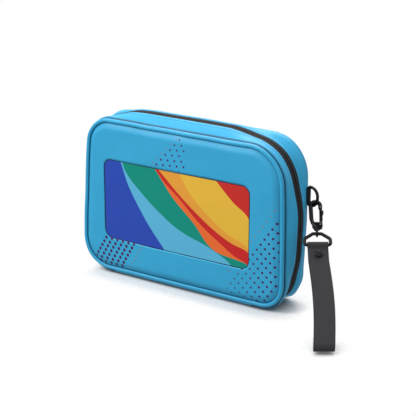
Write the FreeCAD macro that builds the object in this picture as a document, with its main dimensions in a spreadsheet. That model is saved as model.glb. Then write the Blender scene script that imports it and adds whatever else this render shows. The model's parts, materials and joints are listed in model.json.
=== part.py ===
import FreeCAD, Part

# A clamshell case for a table tennis paddle: two padded half shells joined by a soft bottom strip and a zip,
# with a wrist strap on a snap hook at the right side.
# Frame: millimetres, +X to the case's right, +Y to its back, +Z up. The origin is on the floor, in the middle of
# the bottom strip, which is the line that the front half folds about.
# The hook and strap are drawn in their own frame: x across the strap, y through it, z up along it, with the
# origin where the hook hangs on the side ring. Each of their bodies is then placed on the leaning chain.

import math
import os

import Sketcher
from FreeCAD import Placement, Rotation, Vector

doc = FreeCAD.newDocument("paddle_case")

# ---------------------------------------------------------------------------------------------- dimensions

SIZES = [
    # alias, value, meaning
    ("case_width", 287.0, "outer width over the piping"),
    ("case_height", 200.0, "outer height over the piping"),
    ("edge_depth", 25.0, "depth of each piping ring from the parting plane"),
    ("base_lift", 4.0, "height of the piping above the floor"),
    ("side_bulge", 6.0, "how far the zip stands out beyond the piping"),
    ("top_radius", 40.0, "outline radius of the top corners"),
    ("bottom_radius", 34.0, "outline radius of the bottom corners"),
    ("zip_round", 12.0, "how much rounder the corners are along the zip"),
    ("skin", 1.6, "thickness of the outer skin"),
    ("lining", 0.8, "thickness of the lining"),
    ("gap", 0.1, "clearance between neighbouring layers"),
    ("piping_radius", 2.7, "radius of the piping cord"),
    ("board_inset", 16.0, "how far each foam board stays inside the outline"),
    ("band_half", 7.0, "half the width of the visible zip band"),
    ("tape_depth", 9.0, "how deep each zip tape reaches under the skin"),
    ("tape", 0.7, "thickness of a zip tape"),
    ("slit", 0.7, "half the slit between the two coils"),
    ("coil_width", 2.7, "width of one nylon coil"),
    ("coil_height", 2.2, "height of one nylon coil"),
    ("strip_half", 98.8, "half the length of the bottom strip"),
    ("strip_flat", 18.0, "depth of the strip's flat part"),
    ("window_width", 213.0, "width of the printed window"),
    ("window_height", 105.0, "height of the printed window"),
    ("window_shift", -7.0, "the window's centre, right of the case's middle"),
    ("window_centre", 99.0, "height of the window's centre above the floor"),
    ("window_radius", 11.0, "corner radius of the window"),
    ("pocket_half", 95.0, "half the width of the inner mesh pocket"),
    ("pocket_low", 26.0, "height of the mesh pocket's lower edge"),
    ("pocket_high", 118.0, "height of the mesh pocket's mouth"),
    ("pocket_depth", 6.0, "how far the pocket stands off the lining"),
    ("elastic", 1.0, "thickness of an elastic band"),
    ("band_stand", 6.2, "how far the elastic bands reach in front of the parting plane"),
    ("band_low", 14.0, "height of the lower end of the elastic bands"),
    ("band_high", 194.0, "height of the upper end of the elastic bands"),
    ("slider_height", 95.0, "height of the slider above the floor"),
    ("slider_half", 5.0, "half the length of the slider"),
    ("slider_plate", 4.6, "half the width of the slider's plates"),
    ("pull_pin_radius", 1.0, "radius of the pin of the zip pull"),
    ("pull_length", 28.0, "length of the zip pull"),
    ("ring_x", 149.6, "side ring: distance of its bar from the middle"),
    ("ring_y", 21.5, "side ring: depth of its bar"),
    ("ring_z", 135.5, "side ring: height of its centre"),
    ("ring_turn", -10.0, "side ring: direction it points in, degrees from +X"),
    ("ring_half", 11.5, "side ring: half its height, on the wire's centre line"),
    ("ring_reach", 13.5, "side ring: how far it reaches from its bar"),
    ("ring_corner", 10.0, "side ring: radius of its outer corners"),
    ("ring_wire", 1.5, "side ring: radius of its wire"),
    ("tab_half", 9.0, "half the height of the tab that holds the side ring"),
    ("tab_wall", 1.2, "thickness of the tab's fold"),
    ("tab_root", 6.4, "how far the tab reaches in from the ring's bar"),
    ("play", 0.07, "running clearance of a pin in its eye"),
    ("chain_turn", 33.76, "direction the hook and strap lean in, degrees"),
    ("chain_lean", 47.8, "lean of the hook and strap from upright, degrees"),
    ("hook_wire", 1.6, "radius of the hook's wire"),
    ("hook_half", 5.6, "half the hook's width, on the wire's centre line"),
    ("hook_top", 3.7, "top of the hook's bow above the ring's wire"),
    ("hook_tip", -6.5, "end of the hook's short arm"),
    ("hook_shoulder", -19.0, "height where the long arm leans in to the block"),
    ("gate_top", -6.7, "top of the gate, just under the hook's tip"),
    ("gate_knee", -20.0, "height where the gate widens"),
    ("yoke_top", -25.5, "top of the hook's lower block"),
    ("yoke_low", -32.0, "bottom of the hook's lower block"),
    ("yoke_half", 3.1, "half the thickness of the lower block"),
    ("gate_slot", 1.9, "half the width of the gate's slot"),
    ("gate_half", 1.1, "half the thickness of the gate"),
    ("gate_pin_x", 4.2, "the gate's pin, right of the hook's middle"),
    ("gate_pin_z", -28.0, "the gate's pin, below the side ring's wire"),
    ("gate_pin_radius", 0.8, "radius of the gate's pin"),
    ("stem_radius", 1.6, "radius of the swivel's stem"),
    ("eye_z", -38.0, "centre of the swivel's eye"),
    ("eye_radius", 3.7, "radius of the swivel's eye, on the wire's centre line"),
    ("eye_wire", 1.1, "radius of the eye's wire"),
    ("strap_ring_top", -38.7, "strap ring: top of the wire's centre line"),
    ("strap_bar", -53.2, "strap ring: height of the bar that carries the strap"),
    ("strap_ring_half", 15.0, "strap ring: half its width, on the wire's centre line"),
    ("strap_ring_corner", 2.8, "strap ring: radius of its lower corners"),
    ("strap_ring_end", 7.7, "strap ring: height of its straight ends"),
    ("strap_ring_peak", 5.0, "strap ring: half the length of its top"),
    ("strap_ring_bend", 4.0, "strap ring: radius of its upper corners"),
    ("strap_ring_wire", 1.8, "strap ring: radius of its wire"),
    ("webbing_half", 12.0, "half the width of the strap's webbing"),
    ("webbing", 1.5, "thickness of the strap's webbing"),
    ("bend_z", -74.0, "height of the strap's bend"),
    ("strap_end", -186.0, "end of the strap's loop"),
    ("loop_half", 5.2, "half the thickness of the strap at the loop's end"),
    ("rivet_z", -66.0, "height of the rivet"),
    ("rivet_radius", 4.5, "radius of the rivet's cap"),
    ("rivet_post", 1.2, "radius of the rivet's post"),
]


class Size:
    """A number together with the spreadsheet formula that gives it, so that a sketch can be bound to the sheet."""

    def __init__(self, number, formula):
        self.number = number
        self.formula = formula

    def joined(self, sign, other, number, swapped=False):
        left, right = (formula_of(other), self.formula) if swapped else (self.formula, formula_of(other))
        return Size(number, f"({left} {sign} {right})")

    def __add__(self, other):
        return self.joined("+", other, self.number + number_of(other))

    def __radd__(self, other):
        return self.joined("+", other, self.number + number_of(other), swapped=True)

    def __sub__(self, other):
        return self.joined("-", other, self.number - number_of(other))

    def __rsub__(self, other):
        return self.joined("-", other, number_of(other) - self.number, swapped=True)

    def __mul__(self, other):
        return self.joined("*", other, self.number * number_of(other))

    def __rmul__(self, other):
        return self.joined("*", other, self.number * number_of(other), swapped=True)

    def __truediv__(self, other):
        return self.joined("/", other, self.number / number_of(other))

    def __neg__(self):
        return self * -1


def number_of(value):
    return value.number if isinstance(value, Size) else float(value)


def formula_of(value):
    return value.formula if isinstance(value, Size) else repr(value)


def as_size(value):
    return value if isinstance(value, Size) else Size(float(value), repr(float(value)))


def make_sheet():
    """The spreadsheet of driving dimensions; returns one Size for each alias."""
    sheet = doc.addObject("Spreadsheet::Sheet", "sizes")
    sizes = {}
    for row, (alias, value, meaning) in enumerate(SIZES, start=1):
        sheet.set(f"A{row}", meaning)
        sheet.set(f"B{row}", str(value))
        sheet.setAlias(f"B{row}", alias)
        sizes[alias] = Size(value, f"sizes.{alias}")
    doc.recompute()
    return sizes


D = make_sheet()
FRONT = 1
BACK = -1

# ------------------------------------------------------------------------------------- sketches and features


def bind(target, path, value):
    """Sets a property of an object and binds it to the sheet."""
    target.setExpression(path, as_size(value).formula)


def new_body(label):
    body = doc.addObject("PartDesign::Body", label)
    body.Label = label
    return body


def origin_plane(body, role):
    return next(item for item in body.Origin.OriginFeatures if item.Role == role)


def new_sketch(body, role, offset=0.0):
    """A sketch on one of the body's own planes, moved along the plane's normal.
    On XZ_Plane the normal is -Y, so a positive offset is towards the front."""
    sketch = body.newObject("Sketcher::SketchObject", f"{body.Name}_sketch")
    sketch.AttachmentSupport = (origin_plane(body, role), [""])
    sketch.MapMode = "FlatFace"
    sketch.AttachmentOffset = Placement(Vector(0, 0, number_of(offset)), Rotation())
    bind(sketch, "AttachmentOffset.Base.z", offset)
    return sketch


def add_measure(sketch, kind, elements, value):
    """A dimension of the sketch, bound to the sheet."""
    index = sketch.addConstraint(Sketcher.Constraint(kind, *elements, number_of(value)))
    name = f"size_{index}"
    sketch.renameConstraint(index, name)
    bind(sketch, f"Constraints.{name}", value)


def corner_arc(before, corner, after, radius):
    """The arc that rounds a corner: (arc, start of the line after it, end of the line before it, anticlockwise)."""
    incoming = (corner - before).normalize()
    outgoing = (after - corner).normalize()
    anticlockwise = incoming.cross(outgoing).z > 0
    cut = radius * math.tan(incoming.getAngle(outgoing) / 2)
    first = corner - incoming * cut
    last = corner + outgoing * cut
    side = 1 if anticlockwise else -1
    centre = first + Vector(-incoming.y, incoming.x, 0) * radius * side
    low, high = (first, last) if anticlockwise else (last, first)
    start = math.atan2(low.y - centre.y, low.x - centre.x)
    end = math.atan2(high.y - centre.y, high.x - centre.x)
    if end < start:
        end += 2 * math.pi
    arc = Part.ArcOfCircle(Part.Circle(centre, Vector(0, 0, 1), radius), start, end)
    return arc, last, first, anticlockwise


def add_outline(sketch, corners, radii=None, closed=True):
    """Straight runs between corners, with an arc at each corner that has a radius. Corners and radii may be Sizes.
    Guide lines join the corners; the runs lie on them, and the arcs touch the runs."""
    count = len(corners)
    radii = radii or [None] * count
    points = [Vector(number_of(x), number_of(y), 0) for x, y in corners]
    runs = count if closed else count - 1
    guides = []
    for i in range(runs):
        guides.append(sketch.addGeometry(Part.LineSegment(points[i], points[(i + 1) % count]), True))
        add_measure(sketch, "DistanceX", (-1, 1, guides[i], 1), corners[i][0])
        add_measure(sketch, "DistanceY", (-1, 1, guides[i], 1), corners[i][1])
    for i in range(runs if closed else runs - 1):
        sketch.addConstraint(Sketcher.Constraint("Coincident", guides[i], 2, guides[(i + 1) % runs], 1))
    if not closed:
        add_measure(sketch, "DistanceX", (-1, 1, guides[-1], 2), corners[-1][0])
        add_measure(sketch, "DistanceY", (-1, 1, guides[-1], 2), corners[-1][1])
    starts = list(points)
    ends = list(points)
    arcs = {}
    for i in range(count):
        if radii[i] is not None:
            around = points[i - 1], points[i], points[(i + 1) % count]
            arcs[i] = corner_arc(*around, number_of(radii[i]))
            starts[i], ends[i] = arcs[i][1], arcs[i][2]
    lines = [sketch.addGeometry(Part.LineSegment(starts[i], ends[(i + 1) % count])) for i in range(runs)]
    for i in range(runs):
        for end, corner in ((1, i), (2, (i + 1) % count)):
            if corner in arcs:
                sketch.addConstraint(Sketcher.Constraint("PointOnObject", lines[i], end, guides[i]))
            else:
                sketch.addConstraint(Sketcher.Constraint("Coincident", lines[i], end, guides[i], end))
    for i, (arc, _, _, anticlockwise) in arcs.items():
        index = sketch.addGeometry(arc)
        near, far = (1, 2) if anticlockwise else (2, 1)
        sketch.addConstraint(Sketcher.Constraint("Tangent", lines[i - 1], 2, index, near))
        sketch.addConstraint(Sketcher.Constraint("Tangent", index, far, lines[i], 1))
        add_measure(sketch, "Radius", (index,), radii[i])


def add_circle(sketch, x, y, radius):
    centre = Vector(number_of(x), number_of(y), 0)
    index = sketch.addGeometry(Part.Circle(centre, Vector(0, 0, 1), number_of(radius)))
    add_measure(sketch, "DistanceX", (-1, 1, index, 3), x)
    add_measure(sketch, "DistanceY", (-1, 1, index, 3), y)
    add_measure(sketch, "Radius", (index,), radius)


def add_rectangle(sketch, left, right, low, high):
    add_outline(sketch, [(left, low), (right, low), (right, high), (left, high)])


def feature(body, kind, sketch=None):
    made = body.newObject(f"PartDesign::{kind}", f"{body.Name}_{kind.lower()}")
    if sketch is not None:
        made.Profile = sketch
    return made


def pad(body, sketch, length, both_ways=False, reverse=False):
    made = feature(body, "Pad", sketch)
    bind(made, "Length", length)
    made.SideType = "Symmetric" if both_ways else "One side"
    made.Reversed = reverse
    return made


def pocket(body, sketch, length):
    """Cuts the sketch through, the same length to both sides of its plane."""
    made = feature(body, "Pocket", sketch)
    made.Type = "Length"
    bind(made, "Length", length)
    made.SideType = "Symmetric"
    return made


def loft(body, first, second, cut=False):
    made = feature(body, "SubtractiveLoft" if cut else "AdditiveLoft", first)
    made.Sections = [(second, [""])]
    made.Ruled = True
    return made


def pipe(body, profile, path):
    made = feature(body, "AdditivePipe", profile)
    made.Spine = (path, [""])
    made.Mode = "Frenet"
    made.Transition = "Round corner"
    return made


def revolve(body, sketch, axis_role):
    made = feature(body, "Revolution", sketch)
    made.ReferenceAxis = (origin_plane(body, axis_role), [""])
    made.Angle = 360
    return made


# ------------------------------------------------------------------------------------------- the half shells


def case_outline(depth, inset):
    """Corners and radii of the case's outline at a depth from the parting plane, moved in by inset."""
    swell = 1 - depth / D["edge_depth"]
    bulge = D["side_bulge"] * swell - inset
    half = D["case_width"] / 2 + bulge
    low = D["base_lift"] * depth / D["edge_depth"] + inset
    high = D["base_lift"] + D["case_height"] + bulge
    rounder = D["zip_round"] * swell
    top = D["top_radius"] + bulge + rounder
    bottom = D["bottom_radius"] + D["base_lift"] * swell - inset + rounder
    corners = [(-half, low), (half, low), (half, high), (-half, high)]
    return corners, [bottom, bottom, top, top]


def outline_sketch(body, side, depth, *insets):
    """A sketch of the case's outline at a depth on one side, with one loop for each inset."""
    sketch = new_sketch(body, "XZ_Plane", depth * side)
    for inset in insets:
        add_outline(sketch, *case_outline(depth, inset))
    return sketch


def cut_bottom_gap(body):
    """Opens a ring over the length of the bottom strip."""
    half = D["strip_half"] + D["gap"]
    sketch = new_sketch(body, "XZ_Plane")
    add_rectangle(sketch, -half, half, -D["base_lift"], 4 * D["base_lift"])
    pocket(body, sketch, 4 * D["edge_depth"])


def ring_layer(label, side, near, far, outer, inner):
    """A layer of the side wall: a ring between two depths and two insets, open over the bottom strip."""
    body = new_body(label)
    loft(body, outline_sketch(body, side, near, outer, inner), outline_sketch(body, side, far, outer, inner))
    cut_bottom_gap(body)
    return body


def plate_layer(label, side, near, far, inset):
    """A flat board inside the outline, between two depths."""
    body = new_body(label)
    sketch = new_sketch(body, "XZ_Plane", near * side)
    add_outline(sketch, *case_outline(D["edge_depth"], inset))
    pad(body, sketch, far - near, reverse=side == BACK)
    return body


FLOOR_DEPTH = D["edge_depth"] - D["piping_radius"]
TAPE_INSET = D["skin"] + D["gap"]
COIL_INSET = TAPE_INSET + D["tape"] + D["gap"]
BOARD_DEPTH = D["edge_depth"] + D["piping_radius"] - 2 * D["gap"]
PANEL_DEPTH = BOARD_DEPTH + D["gap"]


def make_gusset(label, side):
    far = FLOOR_DEPTH - D["gap"]
    return ring_layer(label, side, D["band_half"], far, as_size(0), D["skin"])


def make_zip_tape(label, side):
    return ring_layer(label, side, D["slit"], D["tape_depth"], TAPE_INSET, TAPE_INSET + D["tape"])


def make_zip_coil(label, side):
    far = D["slit"] + D["coil_width"]
    return ring_layer(label, side, D["slit"], far, COIL_INSET, COIL_INSET + D["coil_height"])


def make_piping(label, side):
    """A cord that follows the outline, round the edge of the panel."""
    body = new_body(label)
    path = outline_sketch(body, side, D["edge_depth"], D["piping_radius"])
    profile = new_sketch(body, "YZ_Plane")
    add_circle(profile, -side * D["edge_depth"], D["base_lift"] + D["piping_radius"], D["piping_radius"])
    pipe(body, profile, path)
    return body


def make_lining(label, side):
    """A tray of lining: a floor behind the board and a wall under the gusset."""
    body = new_body(label)
    near = D["tape_depth"] + 5 * D["gap"]
    far = FLOOR_DEPTH - D["gap"]
    outer = TAPE_INSET
    inner = TAPE_INSET + D["lining"]
    loft(body, outline_sketch(body, side, near, outer), outline_sketch(body, side, far, outer))
    floor = far - D["lining"]
    loft(body, outline_sketch(body, side, near, inner), outline_sketch(body, side, floor, inner), cut=True)
    return body


def make_board(label, side):
    """The stiff foam board between the lining's floor and the panel."""
    return plate_layer(label, side, FLOOR_DEPTH, BOARD_DEPTH, D["board_inset"])


def window_outline(inset):
    half = D["window_width"] / 2 - inset
    rise = D["window_height"] / 2 - inset
    left = D["window_shift"] - half
    right = D["window_shift"] + half
    low = D["window_centre"] - rise
    high = D["window_centre"] + rise
    corners = [(left, low), (right, low), (right, high), (left, high)]
    return corners, [D["window_radius"] - inset] * len(corners)


def make_front_panel():
    body = plate_layer("front_panel", FRONT, PANEL_DEPTH, PANEL_DEPTH + D["skin"], D["piping_radius"] + 2)
    sketch = new_sketch(body, "XZ_Plane", PANEL_DEPTH)
    add_outline(sketch, *window_outline(0))
    pocket(body, sketch, 4 * D["skin"])
    return body


def make_back_panel():
    return plate_layer("back_panel", BACK, PANEL_DEPTH, PANEL_DEPTH + D["skin"], D["piping_radius"] + 2)


def make_window_print():
    """The printed sheet, set flush into the front panel's window."""
    body = new_body("window_print")
    sketch = new_sketch(body, "XZ_Plane", PANEL_DEPTH)
    add_outline(sketch, *window_outline(D["gap"]))
    pad(body, sketch, D["skin"] - D["gap"])
    return body


def make_bottom_strip(label, side):
    """One half of the strip under the case: flat on the floor, then rising to the piping."""
    body = new_body(label)
    far = FLOOR_DEPTH - D["gap"]
    rise = D["base_lift"] * far / D["edge_depth"]
    lift = D["gap"] / 2 if side == FRONT else as_size(0)
    near = D["gap"] / 4
    lower = [(near, lift), (D["strip_flat"], lift), (far, rise - D["skin"])]
    upper = [(far, rise), (D["strip_flat"] - D["gap"], lift + D["skin"]), (near, lift + D["skin"])]
    sketch = new_sketch(body, "YZ_Plane")
    add_outline(sketch, [(-side * depth, height) for depth, height in lower + upper])
    pad(body, sketch, 2 * D["strip_half"], both_ways=True)
    return body


# ---------------------------------------------------------------------------------------- inside the case


def make_mesh_pocket():
    """A flat mesh pocket on the lining of the front half: a sheet with side and bottom walls, open at the top."""
    body = new_body("mesh_pocket")
    floor = FLOOR_DEPTH - D["lining"] - 2 * D["gap"]
    sheet = new_sketch(body, "XZ_Plane", floor - D["pocket_depth"])
    add_rectangle(sheet, -D["pocket_half"], D["pocket_half"], D["pocket_low"], D["pocket_high"])
    pad(body, sheet, D["pocket_depth"])
    inside = D["pocket_half"] - D["lining"]
    hollow = new_sketch(body, "XZ_Plane", floor)
    add_rectangle(hollow, -inside, inside, D["pocket_low"] + D["lining"], D["pocket_high"] + D["lining"])
    pocket(body, hollow, 2 * (D["pocket_depth"] - D["lining"]))
    return body


def make_pocket_binding():
    """The elastic binding along the mouth of the mesh pocket."""
    body = new_body("pocket_binding")
    near = FLOOR_DEPTH - D["lining"] - 2 * D["gap"] - D["pocket_depth"]
    low = D["pocket_high"] + D["gap"]
    sketch = new_sketch(body, "XZ_Plane", near)
    add_rectangle(sketch, -D["pocket_half"], D["pocket_half"], low, low + 5 * D["elastic"])
    pad(body, sketch, 2 * D["elastic"])
    return body


def make_elastic_band(label, middle, width):
    """An upright elastic band over the paddle, sewn to the back lining at both ends."""
    body = new_body(label)
    root = FLOOR_DEPTH - D["lining"] - 2 * D["gap"]
    stand = D["band_stand"]
    low = D["band_low"]
    high = D["band_high"]
    thick = D["elastic"]
    lean = 4 * thick
    outside = [(root, low), (root, high), (-stand, high - lean), (-stand, low + lean)]
    inside = [(root, low + thick), (thick - stand, low + lean + thick)]
    inside += [(thick - stand, high - lean - thick), (root, high - thick)]
    sketch = new_sketch(body, "YZ_Plane", middle)
    corners = [outside[0], inside[0], inside[1], inside[2], inside[3], outside[1], outside[2], outside[3]]
    add_outline(sketch, corners)
    pad(body, sketch, width, both_ways=True)
    return body


# -------------------------------------------------------------------------------------------------- the zip


def make_end_stops():
    """The two stops at the ends of the zip, beside the bottom strip."""
    body = new_body("zip_end_stops")
    body.AllowCompound = True
    low = COIL_INSET + D["gap"]
    start = D["strip_half"] - 3
    end = D["strip_half"] + D["gap"] / 2
    sketch = new_sketch(body, "XZ_Plane", -2 * D["slit"])
    for left, right in ((-end, -start), (start, end)):
        add_rectangle(sketch, left, right, low, low + D["coil_height"])
    pad(body, sketch, D["coil_width"], reverse=True)
    return body


def zip_x(inset):
    """Distance from the middle of the zip's outer surface on the straight side, moved in by inset."""
    return D["case_width"] / 2 + D["side_bulge"] - inset


OUTER_PLATE = -0.6
BRIDGE_RISE = 3.9
BRIDGE_FOOT = 3.0
BRIDGE_HEAD = 1.9
BRIDGE_WIDTH = 2.4
PULL_PIN_RISE = 2.3
PULL_PIN_LENGTH = 6.0
CHEEK_GAP = 2.2
CHEEK_HIGH = 1.2
CHEEK_LOW = 6.0
CHEEK_ROUND = 0.7
PULL_THICKNESS = 1.6
TONGUE_HALF = 3.5
TONGUE_NECK = 3.0
TONGUE_TOP = 5.0
TONGUE_ROUND = 3.0


def make_zip_slider():
    """The slider: a plate on each side of the zip, the post between the coils, and the bridge of the pull."""
    body = new_body("zip_slider")
    slider = D["slider_half"]
    low = D["slider_height"] - slider
    high = D["slider_height"] + slider
    plates = new_sketch(body, "XZ_Plane")
    outer = -zip_x(OUTER_PLATE)
    inner = -zip_x(COIL_INSET + D["coil_height"] + 1)
    add_rectangle(plates, outer, -zip_x(TAPE_INSET - 2 * D["gap"]), low, high)
    pad(body, plates, 2 * D["slider_plate"], both_ways=True)
    post = new_sketch(body, "XZ_Plane")
    add_rectangle(post, outer + D["gap"], inner + D["gap"], low + slider / 2, high - slider / 2)
    pad(body, post, 2 * (D["slit"] - 1.5 * D["gap"]), both_ways=True)
    under = new_sketch(body, "XZ_Plane")
    add_rectangle(under, inner, inner + D["elastic"], low, high)
    pad(body, under, 2 * (D["slider_plate"] - 1), both_ways=True)
    bridge = new_sketch(body, "XZ_Plane")
    top = outer - BRIDGE_RISE
    middle = D["slider_height"]
    foot = outer + D["gap"]
    add_outline(bridge, [(top, middle - BRIDGE_HEAD), (foot, middle - BRIDGE_FOOT), (foot, middle + BRIDGE_FOOT),
                         (top, middle + BRIDGE_HEAD)])
    add_circle(bridge, outer - PULL_PIN_RISE, middle, D["pull_pin_radius"] + D["play"])
    pad(body, bridge, BRIDGE_WIDTH, both_ways=True)
    return body


def make_zip_pull():
    """The pull: two cheeks beside the bridge, the pin between them, and a flat tongue that hangs down."""
    body = new_body("zip_pull")
    pin_x = -zip_x(OUTER_PLATE) - PULL_PIN_RISE
    pin_z = D["slider_height"]
    pin = new_sketch(body, "XZ_Plane")
    add_circle(pin, pin_x, pin_z, D["pull_pin_radius"])
    pad(body, pin, PULL_PIN_LENGTH, both_ways=True)
    left = pin_x - PULL_THICKNESS / 2
    right = pin_x + PULL_THICKNESS / 2
    foot = pin_z - CHEEK_LOW
    head = pin_z + CHEEK_HIGH
    for side in (FRONT, BACK):
        cheek = new_sketch(body, "XZ_Plane", side * CHEEK_GAP)
        add_outline(cheek, [(left, foot), (right, foot), (right, head), (left, head)],
                    [None, None, CHEEK_ROUND, CHEEK_ROUND])
        pad(body, cheek, PULL_THICKNESS, both_ways=True)
    tongue = new_sketch(body, "YZ_Plane", pin_x)
    low = pin_z - D["pull_length"]
    top = pin_z - TONGUE_TOP
    add_outline(tongue, [(-TONGUE_HALF, low), (TONGUE_HALF, low), (TONGUE_NECK, top), (-TONGUE_NECK, top)],
                [TONGUE_ROUND, TONGUE_ROUND, 0.5, 0.5])
    pad(body, tongue, PULL_THICKNESS, both_ways=True)
    return body


# -------------------------------------------------------------------------------------- side ring and chain


def place_on_side(body):
    """Places a body drawn about the side ring's bar."""
    base = Vector(D["ring_x"].number, D["ring_y"].number, D["ring_z"].number)
    body.Placement = Placement(base, Rotation(Vector(0, 0, 1), D["ring_turn"].number))
    for axis, alias in (("x", "ring_x"), ("y", "ring_y"), ("z", "ring_z")):
        bind(body, f"Placement.Base.{axis}", D[alias])


def make_ring_tab():
    """The tab that is sewn into the seam of the back half and folds round the side ring's bar."""
    body = new_body("ring_tab")
    inner = D["ring_wire"] + D["play"]
    outer = inner + D["tab_wall"]
    fold = new_sketch(body, "XY_Plane", D["ring_z"])
    add_circle(fold, D["ring_x"], D["ring_y"], outer)
    pad(body, fold, 2 * D["tab_half"], both_ways=True)
    sheet = new_sketch(body, "XY_Plane", D["ring_z"])
    low = D["ring_y"] - D["tab_wall"] / 2
    high = FLOOR_DEPTH - 2 * D["gap"]
    add_rectangle(sheet, D["ring_x"] - D["tab_root"], D["ring_x"] - inner, low, high)
    pad(body, sheet, 2 * D["tab_half"], both_ways=True)
    bore = new_sketch(body, "XY_Plane", D["ring_z"])
    add_circle(bore, D["ring_x"], D["ring_y"], inner)
    pocket(body, bore, 4 * D["tab_half"])
    return body


def make_side_ring():
    """A D-shaped wire ring; its straight bar turns in the tab."""
    body = new_body("side_ring")
    half = D["ring_half"]
    reach = D["ring_reach"]
    bar_corner = 2 * D["ring_wire"]
    path = new_sketch(body, "XZ_Plane")
    corners = [(0, -half), (reach, -half), (reach, half), (0, half)]
    add_outline(path, corners, [bar_corner, D["ring_corner"], D["ring_corner"], bar_corner])
    profile = new_sketch(body, "XY_Plane")
    add_circle(profile, 0, 0, D["ring_wire"])
    pipe(body, profile, path)
    place_on_side(body)
    return body


HANG_ANGLE = math.radians(45)


def hang_point():
    """Where the hook hangs: a point on the lower outer corner of the side ring."""
    corner = D["ring_corner"].number
    reach = D["ring_reach"].number - corner + corner * math.cos(HANG_ANGLE)
    drop = D["ring_half"].number - corner + corner * math.sin(HANG_ANGLE)
    turn = Rotation(Vector(0, 0, 1), D["ring_turn"].number)
    base = Vector(D["ring_x"].number, D["ring_y"].number, D["ring_z"].number)
    return base + turn.multVec(Vector(reach, 0, -drop))


def place_on_chain(body):
    """Places a body drawn in the chain's own frame on the leaning chain."""
    turn = Rotation(Vector(0, 0, 1), D["chain_turn"].number)
    lean = Rotation(Vector(1, 0, 0), -D["chain_lean"].number)
    body.Placement = Placement(hang_point(), turn.multiply(lean))


SHANK_FOOT = 3.6
SHANK_BEND = 6
BLOCK_LEFT = 5.5
BLOCK_RIGHT = 6.2
BLOCK_FOOT = 3.5
SLOT_LEFT = 2.4
GATE_HEEL = 1.3
GATE_INNER = 4.2
GATE_OUTER = 7
THUMB_REACH = 8.3


def make_hook_body():
    """The snap hook: a bent wire bow over a block that holds the gate's pin and the swivel's stem."""
    body = new_body("hook_body")
    half = D["hook_half"]
    top = D["hook_top"]
    path = new_sketch(body, "XZ_Plane")
    tip = D["hook_tip"]
    shank = [(half, tip), (half, top), (-half, top), (-half, D["hook_shoulder"]), (-SHANK_FOOT, D["yoke_top"] - 2)]
    add_outline(path, shank, [None, half - 0.05, half - 0.05, SHANK_BEND, None], closed=False)
    profile = new_sketch(body, "XY_Plane", tip)
    add_circle(profile, half, 0, D["hook_wire"])
    pipe(body, profile, path)
    block = new_sketch(body, "XZ_Plane")
    low = D["yoke_low"]
    high = D["yoke_top"]
    left = -BLOCK_LEFT
    right = BLOCK_RIGHT
    foot = BLOCK_FOOT
    add_outline(block, [(left, low + 2), (-foot, low), (foot, low), (right, low + 1.5), (right, high), (left, high)])
    pad(body, block, 2 * D["yoke_half"], both_ways=True)
    slot = new_sketch(body, "XZ_Plane")
    add_rectangle(slot, SLOT_LEFT, 2 * right, low + 1, high + 1)
    pocket(body, slot, 2 * D["gate_slot"])
    pin_hole = new_sketch(body, "XZ_Plane")
    add_circle(pin_hole, D["gate_pin_x"], D["gate_pin_z"], D["gate_pin_radius"] + D["play"] / 4)
    pocket(body, pin_hole, 4 * D["yoke_half"])
    bore = new_sketch(body, "XY_Plane", low)
    add_circle(bore, 0, 0, D["stem_radius"] + D["play"])
    pocket(body, bore, 20)
    place_on_chain(body)
    return body


def make_hook_gate():
    """The spring gate: an arm from its pin up to the hook's tip, with a thumb tab near its top."""
    body = new_body("hook_gate")
    pin_x = D["gate_pin_x"]
    pin_z = D["gate_pin_z"]
    arm = new_sketch(body, "XZ_Plane")
    heel = pin_z - GATE_HEEL
    knee = D["gate_knee"]
    top = D["gate_top"]
    corners = [(pin_x - GATE_HEEL, heel), (pin_x + GATE_HEEL, heel), (GATE_OUTER, knee), (GATE_OUTER, top),
               (GATE_INNER, top), (pin_x - 1.1, knee)]
    add_outline(arm, corners, [1.2, 1.2, 4, 0.5, 0.5, 4])
    pad(body, arm, 2 * D["gate_half"], both_ways=True)
    thumb = new_sketch(body, "XZ_Plane")
    root = GATE_OUTER - 1
    add_outline(thumb, [(root, knee + 5), (THUMB_REACH, knee + 7), (THUMB_REACH, knee + 10), (root, knee + 12)],
                [0.5, 1, 1, 0.5])
    pad(body, thumb, 3 * D["gate_half"], both_ways=True)
    eye = new_sketch(body, "XZ_Plane")
    add_circle(eye, pin_x, pin_z, D["gate_pin_radius"] + D["play"])
    pocket(body, eye, 4 * D["gate_half"])
    place_on_chain(body)
    return body


def make_gate_pin():
    body = new_body("gate_pin")
    sketch = new_sketch(body, "XZ_Plane")
    add_circle(sketch, D["gate_pin_x"], D["gate_pin_z"], D["gate_pin_radius"])
    pad(body, sketch, 2 * D["yoke_half"] + 4 * D["gap"], both_ways=True)
    place_on_chain(body)
    return body


def make_gate_spring():
    """The gate's spring: one coil round the pin beside the gate, and a leg that lies in the slot."""
    body = new_body("gate_spring")
    wire = 0.25
    coil_radius = D["gate_pin_radius"] + 2 * wire
    middle = (D["gate_half"] + D["gate_slot"]) / 2
    coil = new_sketch(body, "XZ_Plane", -middle)
    add_circle(coil, D["gate_pin_x"], D["gate_pin_z"], coil_radius + wire)
    add_circle(coil, D["gate_pin_x"], D["gate_pin_z"], coil_radius - wire)
    pad(body, coil, 2 * wire, both_ways=True)
    leg = new_sketch(body, "XZ_Plane", -middle)
    left = D["gate_pin_x"] - coil_radius - wire
    add_rectangle(leg, left, left + 2 * wire, D["gate_pin_z"], D["yoke_top"])
    pad(body, leg, 2 * wire, both_ways=True)
    place_on_chain(body)
    return body


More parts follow.
